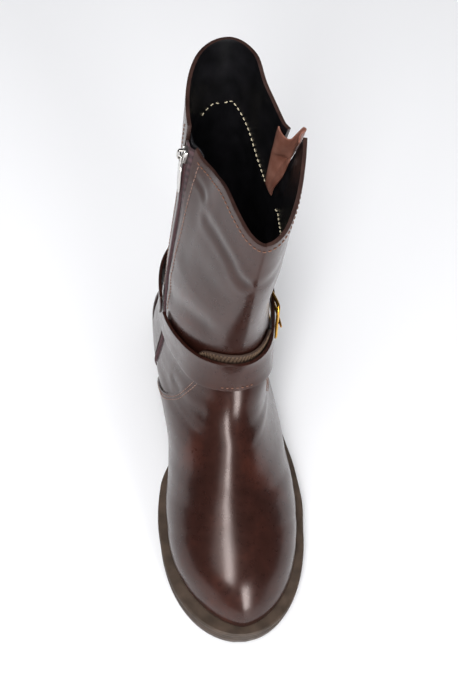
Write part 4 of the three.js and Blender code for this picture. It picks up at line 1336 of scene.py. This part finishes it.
# %% Overcast tab
TAB_INNER = ((-24, 131.5), (-8, 131), (0, 128.5), (3.5, 125.5), (5.2, 122), (6, 116))
TAB_OUTER = ((-24, 131.5), (-8, 131), (0, 128.5), (14.5, 125.5), (16.4, 122), (17, 116))
TAB_BOTTOM = ((-30, 114), (30, 113.9))
TAB_OUT = 1.5
TAB_FLARE = 0.6
TAB_THICKNESS = 1.2
inner_end = -turn_at(-1, 5.9, 117)
outer_end = turn_at(1, 16.9, 117)
tab_inner_turns = -inner_end * np.sin(np.linspace(0, 1, 18) * math.pi / 2)
tab_outer_turns = outer_end * np.sin(np.linspace(0, 1, 26) * math.pi / 2)


def tab_side(turns_of, edge):
    """Places of the tab's top and bottom edge on one side of the front line."""
    high = place_at_edge(turns_of, edge)
    low = place_at_edge(turns_of, TAB_BOTTOM)
    return np.minimum(high, low - 0.02), low


inner_high, inner_low = tab_side(tab_inner_turns, TAB_INNER)
outer_high, outer_low = tab_side(tab_outer_turns, TAB_OUTER)
tab_turns = np.concatenate([tab_inner_turns[:0:-1], tab_outer_turns])
tab_high = np.concatenate([inner_high[:0:-1], outer_high])
tab_low = np.concatenate([inner_low[:0:-1], outer_low])
tab_parts = np.linspace(0, 1, 9)
tab_place = tab_high[None, :] + (tab_low - tab_high)[None, :] * tab_parts[:, None]
tab_turn_grid = np.repeat(tab_turns[None, :], len(tab_parts), 0)
tab_out = TAB_OUT + TAB_FLARE * (1 - tab_parts)[:, None] ** 2 + np.zeros_like(tab_turn_grid)
tab_points = upper_point(tab_place, tab_turn_grid)
tab_points = tab_points + upper_normal(tab_place, tab_turn_grid) * tab_out[..., None]
tab = make_piece(
    "overcast_tab", tab_points, grid_faces(len(tab_parts), len(tab_turns)), [tab_leather],
    slot="overcast_edge", stands_for=["strap_tab"],
)
thicken(tab, TAB_THICKNESS, bevel=0.4)


def grid_at(grid, part, column):
    """Point of a grid between its rows and columns, from shares of its height and width."""
    row = np.clip(np.asarray(part, float), 0, 1) * (grid.shape[0] - 1)
    place = np.clip(np.asarray(column, float), 0, 1) * (grid.shape[1] - 1)
    i = np.minimum(row.astype(int), grid.shape[0] - 2)
    j = np.minimum(place.astype(int), grid.shape[1] - 2)
    u, w = (row - i)[..., None], (place - j)[..., None]
    return (
        grid[i, j] * (1 - u) * (1 - w) + grid[i + 1, j] * u * (1 - w)
        + grid[i, j + 1] * (1 - u) * w + grid[i + 1, j + 1] * u * w
    )


# Overcast thread: two zigzags, set half a step apart, over the tab's top edge.
ZIGZAG_COUNT = 74
ZIGZAG_THREAD = 0.34
ZIGZAG_OUT = 0.12
ZIGZAG_PARTS = (0.03, 0.4)
zig_shapes = []
tab_outward = unit(tab_points - upper_point(tab_place, tab_turn_grid))
for shift in (0.0, 0.5):
    at = np.linspace(0.02, 0.98, ZIGZAG_COUNT) + shift / ZIGZAG_COUNT
    part = np.where(np.arange(ZIGZAG_COUNT) % 2 == 0, *ZIGZAG_PARTS)
    path = grid_at(tab_points, part, at) + grid_at(tab_outward, part, at) * ZIGZAG_OUT
    zig_shapes.append(tube(path, ZIGZAG_THREAD, sides=5))
zig_points, zig_faces = join_shapes(zig_shapes)
make_piece("tab_overcast_thread", zig_points, zig_faces, [tab_thread])
print("tab:", len(tab_turns), "columns")

# %% [markdown]
# The side zip: two tapes woven as one strip, a nylon coil whose turns hook into each other, and
# a leather flap behind it. The coil is made turn by turn, because a light that rakes down the
# ankle picks each of them out.

# %% Zip tape, coil and flap


def zip_sheet(name, stands_for, slot, material, width, low, high, out, columns, rows, thickness):
    """Strip of the skin along the zip."""
    heights = np.linspace(high, low, rows)
    offsets = np.linspace(-width / 2, width / 2, columns)
    z = np.repeat(heights[:, None], columns, 1)
    y = zip_at(heights)[:, None] + offsets[None, :]
    points = skin(-1, y, z, out)
    piece = make_piece(
        name, points, [face[::-1] for face in grid_faces(rows, columns)], [material],
        slot=slot, stands_for=stands_for,
    )
    thicken(piece, thickness, bevel=0.15, segments=1)


zip_sheet(
    "zip_tape_cloth", ["zip_tape"], "zip_fabric", tape_cloth, width=ZIP_GAP - 2 * SEAT_GAP,
    low=ZIP_FOOT + SEAT_GAP, high=ZIP_TOP, out=-0.6, columns=9, rows=110,
    thickness=TAPE_THICKNESS,
)
zip_sheet(
    "zip_flap", ["zip_guard"], "lining_leather", lining, width=17,
    low=60, high=250, out=-WALL - SEAT_GAP, columns=7, rows=60, thickness=1.0,
)

SLIDER_Z = 242.0
SLIDER_HALF = 5.2
COIL_PITCH = 1.35
coil_low, coil_high = ZIP_FOOT + 2, SLIDER_Z - SLIDER_HALF - SEAT_GAP
tooth_heights = np.arange(coil_low, coil_high, COIL_PITCH / 2)
# Each turn of the coil from root to tip: how far across, how far out, and how thick.
coil_across = np.array([-2.2, -1.7, -0.8, 0.0, 0.45, 0.7])
coil_out = np.array([-0.25, 0.25, 0.45, 0.5, 0.4, 0.1])
coil_radius = np.array([0.28, 0.36, 0.36, 0.36, 0.34, 0.24])
side_of_tooth = np.where(np.arange(len(tooth_heights)) % 2 == 0, 1.0, -1.0)
tooth_y = zip_at(tooth_heights)[:, None] + side_of_tooth[:, None] * coil_across[None, :]
tooth_z = np.repeat(tooth_heights[:, None], len(coil_across), 1)
tooth_points = skin(-1, tooth_y, tooth_z, np.repeat(coil_out[None, :], len(tooth_heights), 0))
coil_points, coil_faces = join_shapes(
    [tube(points, coil_radius, sides=6) for points in tooth_points]
)
make_piece(
    "zip_coil_turns", coil_points, coil_faces, [nylon], slot="zip_nylon", stands_for=["zip_coil"]
)
print("coil turns:", len(tooth_heights))

# %% [markdown]
# The slider is cast in zinc and plated: a body with a rounded outline, a bridge on top, and a pull
# that is stamped from sheet and hangs on the bridge. The body and the pull are each an outline given
# a thickness and soft edges, and the bridge is a rod drawn out into a strip. The pull rides its own
# body, since it is the part that swings.

# %% Slider and pull
SLIDER_BASE = -0.25
SLIDER_TOP = 2.1
HINGE_OUT = SLIDER_TOP + 1
PULL_LENGTH = 29.0
PULL_WIDTH = 7.0
PULL_NECK = 5.4
PULL_THICKNESS = 1.0
PULL_LEAN = math.radians(3.5)
PULL_TIP = 2.5
HALF_BAR = 0.75
WINDOW_BOTTOM = -4.5
WINDOW_WIDTH = 3.1
BRIDGE_RADIUS = 0.55
BRIDGE_SIDES = 10
HALF_BRIDGE = 1.05


def skin_spot(z):
    """The skin's point on the zip's middle line at a height."""
    return skin(-1, zip_at(z), np.array([z]), 0.0)[0]


slider_base = skin_spot(SLIDER_Z)
slider_up = unit(skin_spot(SLIDER_Z + 6) - skin_spot(SLIDER_Z - 12))
slider_out = unit(np.array([-1.0, 0, 0]) + slider_up * slider_up[0])
slider_across = np.cross(slider_up, slider_out)


def on_slider(points):
    """Points given as (out, across, up) of the slider, in the boot's frame."""
    points = np.asarray(points, float)
    return slider_base + points @ np.stack([slider_out, slider_across, slider_up])


def rounded(outline, radius, steps=5):
    """Outline with its corners rounded by arcs."""
    outline = np.asarray(outline, float)
    result = []
    for before, corner, after in zip(np.roll(outline, 1, 0), outline, np.roll(outline, -1, 0)):
        to_before, to_after = before - corner, after - corner
        reach = min(radius, 0.45 * np.linalg.norm(to_before), 0.45 * np.linalg.norm(to_after))
        start = corner + to_before / np.linalg.norm(to_before) * reach
        end = corner + to_after / np.linalg.norm(to_after) * reach
        for u in np.linspace(0, 1, steps):
            result.append((1 - u) ** 2 * start + 2 * u * (1 - u) * corner + u**2 * end)
    return np.array(result)


def stamped(name, outlines, low, high, bevel, placed, **settings):
    """A zinc plate from low to high off the skin, its outline and holes as (across, up)."""
    work = bmesh.new()
    edges = []
    for loop in outlines:
        verts = [work.verts.new((*p, 0)) for p in loop]
        edges += [work.edges.new((verts[i], verts[i - 1])) for i in range(len(verts))]
    bmesh.ops.triangle_fill(work, use_beauty=True, use_dissolve=True, edges=edges)
    bmesh.ops.recalc_face_normals(work, faces=work.faces)
    flat = np.array([v.co[:2] for v in work.verts])
    work.verts.index_update()
    faces = [tuple(v.index for v in face.verts) for face in work.faces]
    work.free()
    points = np.column_stack([np.full(len(flat), high), flat])
    piece = make_piece(name, placed(points), faces, [zinc], slot="plated_zinc", **settings)
    work = bmesh.new()
    work.from_mesh(piece.data)
    bmesh.ops.recalc_face_normals(work, faces=work.faces)
    if sum(face.normal @ Vector(slider_out) for face in work.faces) < 0:
        bmesh.ops.reverse_faces(work, faces=work.faces)
    work.to_mesh(piece.data)
    work.free()
    thicken(piece, high - low, bevel)


slider_outline = rounded([
    (-2.6, -5.2), (2.6, -5.2), (3.7, 1), (3.7, 3.8), (1.4, 5.2), (0, 3.6), (-1.4, 5.2), (-3.7, 3.8),
    (-3.7, 1),
], 1.2)
stamped(
    "slider_body", [slider_outline], SLIDER_BASE, SLIDER_TOP, bevel=0.45,
    placed=on_slider, stands_for=["zip_slider"],
)
bridge_path = spline([
    (SLIDER_TOP - 0.4, 0, -2.9), (HINGE_OUT + 0.7, 0, -2.9), (HINGE_OUT + 1.55, 0, -1.9),
    (HINGE_OUT + 1.7, 0, 0), (HINGE_OUT + 1.55, 0, 1.9), (HINGE_OUT + 0.7, 0, 2.9),
    (SLIDER_TOP - 0.4, 0, 2.9),
], 28)
bridge_points, bridge_faces = tube(on_slider(bridge_path), BRIDGE_RADIUS, BRIDGE_SIDES)
bridge_centre = np.repeat(on_slider(bridge_path), BRIDGE_SIDES, 0)
# The rod is drawn out sideways into a strip.
spread = (bridge_points - bridge_centre) @ slider_across
widen = HALF_BRIDGE / BRIDGE_RADIUS - 1
bridge_points = bridge_points + (spread * widen)[:, None] * slider_across
make_piece(
    "slider_bridge", bridge_points, bridge_faces, [zinc], slot="plated_zinc",
    stands_for=["zip_slider"],
)

half_neck, half_pull = PULL_NECK / 2, PULL_WIDTH / 2
neck_end, shoulder = WINDOW_BOTTOM - 1, WINDOW_BOTTOM - 6
pull_outline = rounded([
    (-half_neck, HALF_BAR), (half_neck, HALF_BAR), (half_neck, neck_end),
    (half_neck - 0.6, neck_end - 2), (half_pull, shoulder), (half_pull, PULL_TIP - PULL_LENGTH),
    (0, -PULL_LENGTH), (-half_pull, PULL_TIP - PULL_LENGTH), (-half_pull, shoulder),
    (0.6 - half_neck, neck_end - 2), (-half_neck, neck_end),
], 1.4)
half_window = WINDOW_WIDTH / 2
pull_window = rounded([
    (-half_window, WINDOW_BOTTOM), (half_window, WINDOW_BOTTOM), (half_window, -HALF_BAR),
    (-half_window, -HALF_BAR),
], 0.6)


def on_pull(points):
    """Points of the pull, leaned about its hinge."""
    points = np.asarray(points, float).copy()
    out, up = points[:, 0] - HINGE_OUT, points[:, 2].copy()
    points[:, 0] = HINGE_OUT + out * math.cos(PULL_LEAN) + up * math.sin(PULL_LEAN)
    points[:, 2] = -out * math.sin(PULL_LEAN) + up * math.cos(PULL_LEAN)
    return on_slider(points)


stamped(
    "pull_tab", [pull_outline, pull_window], HINGE_OUT - PULL_THICKNESS / 2,
    HINGE_OUT + PULL_THICKNESS / 2, bevel=0.25,
    placed=on_pull, stands_for=["zip_pull"], body="pull",
)
print("slider at", np.round(slider_base, 1), "up", np.round(slider_up, 3))

# %% [markdown]
# The buckle is bent from brass rod: a frame whose front bar lies over the belt and whose rear
# bar lies under it, and a prong that reaches from the rear bar through a hole to the front one.

# %% Buckle
BUCKLE_TURN = 0.6
BUCKLE_CORNER = 4.0
BAR_HALF = 6.0
PRONG_OVERHANG = 2.2
PRONG_POINTS = 40


def strap_skin(lift_of, y, z, more):
    """A point over the outer side of the ankle, off the skin by a strap's stand-off and more."""
    place, turn = solve_skin(1, np.array([float(y)]), np.array([float(z)]))
    spot = np.array([[0.0, float(y), float(z)]])
    out = lift_of(spot, np.array([BUCKLE_TURN])) + more
    return (upper_point(place, turn) + upper_normal(place, turn) * out[:, None])[0]


low, high = BUCKLE_Z - BUCKLE_HEIGHT / 2, BUCKLE_Z + BUCKLE_HEIGHT / 2
front_bar, rear_bar = BUCKLE_Y - BUCKLE_LENGTH / 2, BUCKLE_Y + BUCKLE_LENGTH / 2


def over(y, z):
    """The frame's rod where it lies on the belt."""
    return strap_skin(front_lift, y, z, STRAP_THICKNESS + SEAT_GAP + BUCKLE_ROD)


def under(y, z):
    """The frame's rod where it lies under the belt."""
    return strap_skin(rear_lift, y, z, BUCKLE_ROD - 0.25)


frame_path = spline([
    over(front_bar, BUCKLE_Z - BAR_HALF), over(front_bar, low + BUCKLE_CORNER),
    over(front_bar + BUCKLE_CORNER, low), under(rear_bar - BUCKLE_CORNER, low),
    under(rear_bar, low + BUCKLE_CORNER), under(rear_bar, BUCKLE_Z),
    under(rear_bar, high - BUCKLE_CORNER), under(rear_bar - BUCKLE_CORNER, high),
    over(front_bar + BUCKLE_CORNER, high), over(front_bar, high - BUCKLE_CORNER),
    over(front_bar, BUCKLE_Z + BAR_HALF),
], 110, closed=True)
ring_points, ring_faces = tube(frame_path, BUCKLE_ROD, sides=16, closed=True)
make_piece(
    "buckle_ring", ring_points, ring_faces, [brass], slot="gilt_brass", stands_for=["buckle_frame"]
)
prong_front = strap_skin(
    front_lift, front_bar, BUCKLE_Z, STRAP_THICKNESS + 2 * SEAT_GAP + 2 * BUCKLE_ROD + PRONG
)
prong_middle = strap_skin(
    front_lift, BUCKLE_Y - 1, BUCKLE_Z, STRAP_THICKNESS + SEAT_GAP + PRONG + 0.6
)
prong_rear = strap_skin(rear_lift, rear_bar, BUCKLE_Z, 2 * BUCKLE_ROD + SEAT_GAP + PRONG + 0.2)
prong_tip = prong_front + unit(prong_front - prong_middle) * PRONG_OVERHANG
prong_path = spline([prong_rear, prong_middle, prong_front, prong_tip], PRONG_POINTS)
# It tapers over its last sixth, to about half its thickness.
prong_left = np.linspace(1, 0, PRONG_POINTS)
prong_radius = PRONG * np.minimum(1, 0.55 + 0.45 * np.sqrt(prong_left * 6))
prong_points, prong_faces = tube(prong_path, prong_radius, sides=12)
make_piece(
    "buckle_prong", prong_points, prong_faces, [brass], slot="gilt_brass",
    stands_for=["buckle_pin"],
)
print("buckle:", round(BUCKLE_LENGTH), "by", round(BUCKLE_HEIGHT), "mm")

# %% [markdown]
# Behind the slit a thin leather gusset is folded inwards, deep at the collar, flat at its foot.

# %% Gusset
GUSSET_LAP = 0.015
GUSSET_BEHIND = -WALL - 1.5
GUSSET_TOP = 0.06
GUSSET_FOOT = 1.9
GUSSET_THICKNESS = 0.9
# Across the fold, from the front flap to the rear edge: a crest near the skin, then a valley.
FOLD_NAMES = ("across", "out")
FOLD = ((0, 0), (0.2, 0.8), (0.42, 3.4), (0.6, 1.2), (0.8, -3.2), (1, 0))
gusset_places = np.linspace(GUSSET_TOP, GUSSET_FOOT, 34)
gusset_across = np.linspace(0, 1, 27)
gusset_front = np.interp(gusset_places, sample, slit_front)[:, None] - GUSSET_LAP
gusset_rear = np.interp(gusset_places, sample, slit_rear)[:, None] + GUSSET_LAP
gusset_turns = gusset_front + (gusset_rear - gusset_front) * gusset_across[None, :]
fold_share = np.clip(1 - gusset_places / GUSSET_FOOT, 0, 1)[:, None] ** 0.8
gusset_out = GUSSET_BEHIND + fold_share * read(FOLD, FOLD_NAMES, "out", gusset_across)[None, :]
gusset_place_grid = np.repeat(gusset_places[:, None], len(gusset_across), 1)
gusset_points = upper_point(gusset_place_grid, gusset_turns)
gusset_points = (
    gusset_points + upper_normal(gusset_place_grid, gusset_turns) * gusset_out[..., None]
)
gusset = make_piece(
    "slit_fold", gusset_points,
    grid_faces(len(gusset_places), len(gusset_across)), [facing],
    slot="facing_leather", stands_for=["slit_gusset"],
)
thicken(gusset, GUSSET_THICKNESS, bevel=0.2, segments=2)
print("gusset at the collar:", np.round(gusset_points[0, ::13], 1).tolist())

# %% [markdown]
# Seams are what tell a hand that this is sewn and not cast. Each stitch is a short length of
# thread pressed into the leather at both ends; a row of them follows a line on the skin, at a
# pitch of three to four to the centimetre, as on the real boot.

# %% Stitches
STITCH_LENGTH = 2.3
STITCH_GAP = 0.7
THREAD_RADIUS = 0.32
# Along one stitch, in thread radii: how far it stands out, and how thick it is.
STITCH_OUT = np.array([-0.5, 0.25, 0.55, 0.6, 0.55, 0.25, -0.5])
STITCH_THICK = np.array([0.5, 0.9, 1, 1, 1, 0.9, 0.5])


def stitch_shapes(path, normals, length=STITCH_LENGTH, gap=STITCH_GAP, radius=THREAD_RADIUS):
    """Short threads along a path on a surface, sunk at both ends."""
    steps = np.linalg.norm(np.diff(path, axis=0), axis=1)
    run = np.concatenate([[0], np.cumsum(steps)])
    count = max(int(run[-1] // (length + gap)), 1)
    starts = np.arange(count) * (run[-1] / count)
    shapes = []
    for start in starts:
        at = start + np.linspace(0, length, len(STITCH_OUT))
        points = np.stack([np.interp(at, run, path[:, k]) for k in range(3)], -1)
        out = unit(np.stack([np.interp(at, run, normals[:, k]) for k in range(3)], -1))
        points = points + out * (STITCH_OUT * radius)[:, None]
        shapes.append(tube(points, STITCH_THICK * radius, sides=6))
    return shapes


def skin_path(places, turns_of, out, count=160):
    """A line on the creased skin through (place, turn) knots, with its normals."""
    places, turns_of = np.asarray(places, float), np.asarray(turns_of, float)
    knots = np.linspace(0, 1, len(places))
    at = np.linspace(0, 1, count)
    place = smooth(knots, places, at)
    turn = smooth(knots, turns_of, at)
    return on_upper(place, turn, out), upper_normal(place, turn)


seams = {"tan": [], "dark": [], "cream": []}

# The collar's edge row, round the front from slit to zip.
COLLAR_ROW = 0.22
EDGE_MARGIN = 0.02
front_in = np.interp(0.35, sample, zip_front)
front_out = np.interp(0.35, sample, slit_front)
collar_turns = np.linspace(-front_in + EDGE_MARGIN, front_out - EDGE_MARGIN, 9)
path, normal = skin_path(np.full(9, COLLAR_ROW), collar_turns, 0.0, 240)
seams["tan"] += stitch_shapes(path, normal)

# The double row along the vamp's edge on each side.
VAMP_ROW_INSETS = (2.2, 4.6)
row_places = np.linspace(6.3, 13.2, 110)
for side in (-1, 1):
    for inset in VAMP_ROW_INSETS:
        at = vamp_turn(row_places, side, inset)
        on = (at > 0.08) & (at < 0.97)
        path = on_upper(row_places[on], side * at[on], VAMP_LAP)
        seams["dark"] += stitch_shapes(path, upper_normal(row_places[on], side * at[on]))

# A row along each edge of the zip and of the slit: edge, side, inset in turns and last place.
EDGE_ROWS = (
    (zip_front, -1, -0.03, 5.0), (zip_rear, -1, 0.03, 5.0),
    (slit_front, 1, -0.03, 2.3), (slit_rear, 1, 0.03, 2.3),
)
for edge_turns, side, inset, last_place in EDGE_ROWS:
    places = np.linspace(0.3, 5.0, 40)
    places = places[places <= last_place]
    at = side * (np.interp(places, sample, edge_turns) + inset)
    seams["dark"] += stitch_shapes(on_upper(places, at), upper_normal(places, at))

# The lining's seam, inside the shaft: places and turns of its three stretches.
LINING_ROWS = (
    ((1.53, 1.46, 1.43, 1.48), (-0.895, -0.93, -0.955, -0.99)),
    (
        (1.46, 1.42, 1.4, 1.53, 1.64, 1.75, 1.9, 2.0, 2.04, 2.0, 1.95),
        (0.99, 0.965, 0.945, 0.89, 0.855, 0.82, 0.775, 0.74, 0.715, 0.69, 0.675),
    ),
    ((2.12, 2.14, 2.12, 2.08, 2.0), (0.645, 0.61, 0.57, 0.53, 0.47)),
)
LINING_OFF = 0.1
for lining_places, lining_turns in LINING_ROWS:
    path, normal = skin_path(lining_places, lining_turns, -WALL - LINING_OFF)
    seams["cream"] += stitch_shapes(path, -normal, length=2.0, gap=1.2, radius=0.36)

# A few stitches hold the belt's lower edge at the middle of the vamp.
BELT_ROW_UP = 2.5
middle_turns = np.linspace(-0.09, 0.12, 20)
middle_places = place_at_edge(middle_turns, tuple((y, z + BELT_ROW_UP) for y, z in FRONT_LOWER))
path = upper_point(middle_places, middle_turns)
out = front_lift(path, middle_turns) + STRAP_THICKNESS
normal = upper_normal(middle_places, middle_turns)
seams["tan"] += stitch_shapes(path + normal * out[:, None], normal, length=1.6, gap=1.2)

for colour, thread in (("tan", tan_thread), ("dark", brown_thread), ("cream", cream_thread)):
    points, faces = join_shapes(seams[colour])
    make_piece(f"stitches_{colour}", points, faces, [thread])
    print(colour, "stitches:", len(seams[colour]))

# %% [markdown]
# The picture was taken in a pale room with large soft lights: no hard shadow anywhere, a bright
# floor, and one clear streak down the ridge of the vamp. A lamp as wide as the ceiling fills the
# shadows. It is kept out of the gloss, so that the leather shows only the three smaller lamps.

# %% Floor, light and world


def emitter(name, place, aim_at, size, watts):
    """A soft rectangular light, in millimetres, turned to a point."""
    data = bpy.data.lights.new(name, "AREA")
    data.shape = "RECTANGLE"
    data.size, data.size_y = (s * MM for s in size)
    data.energy = watts
    light = bpy.data.objects.new(name, data)
    light.location = Vector(place) * MM
    light.rotation_euler = (Vector(aim_at) - Vector(place)).to_track_quat("-Z", "Y").to_euler()
    bpy.context.scene.collection.objects.link(light)
    return light


floor_material, floor_tree = new_material("pale floor")
floor_shader = add_node(
    floor_tree, "ShaderNodeBsdfPrincipled",
    inputs={"Base Color": linear("#f1f1f3"), "Roughness": 0.6},
)
add_node(floor_tree, "ShaderNodeOutputMaterial", links={"Surface": floor_shader.outputs["BSDF"]})
floor_mesh = bpy.data.meshes.new("floor")
HALF_FLOOR = 3000 * MM
corners = [(x * HALF_FLOOR, y * HALF_FLOOR, 0) for x, y in ((-1, -1), (1, -1), (1, 1), (-1, 1))]
floor_mesh.from_pydata(corners, [], [(0, 1, 2, 3)])
floor_mesh.materials.append(floor_material)
floor = bpy.data.objects.new("floor", floor_mesh)
bpy.context.scene.collection.objects.link(floor)
floor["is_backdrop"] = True

world = bpy.data.worlds.new("dim room")
world.use_nodes = True
world.node_tree.nodes["Background"].inputs["Color"].default_value = linear("#e9edf5")
world.node_tree.nodes["Background"].inputs["Strength"].default_value = 0.1
bpy.context.scene.world = world
bpy.context.scene.view_settings.view_transform = "Standard"

fill = emitter("ceiling", (-300, 200, 1900), (-300, 200, 0), (4200, 3600), 34)
fill.visible_glossy = False
emitter("soft box", (-560, -700, 1600), (-30, -60, 60), (900, 1900), 8)
emitter("strip", (-470, -1150, 1600), (0, -60, 60), (420, 1500), 30)
emitter("front lamp", (400, -1560, 480), (0, -110, 35), (420, 600), 13)

# %% [markdown]
# Last, the outer box of what was made is printed beside the imported model's.

# %% Outer sizes
made_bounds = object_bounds()


def plain(bounds):
    """Bounds as plain lists."""
    return json.loads(json.dumps(bounds, default=lambda value: [float(v) for v in value]))


{"cad": plain(cad_bounds), "visual": plain(made_bounds)}
print("cad", cad_bounds)
print("visual", made_bounds)
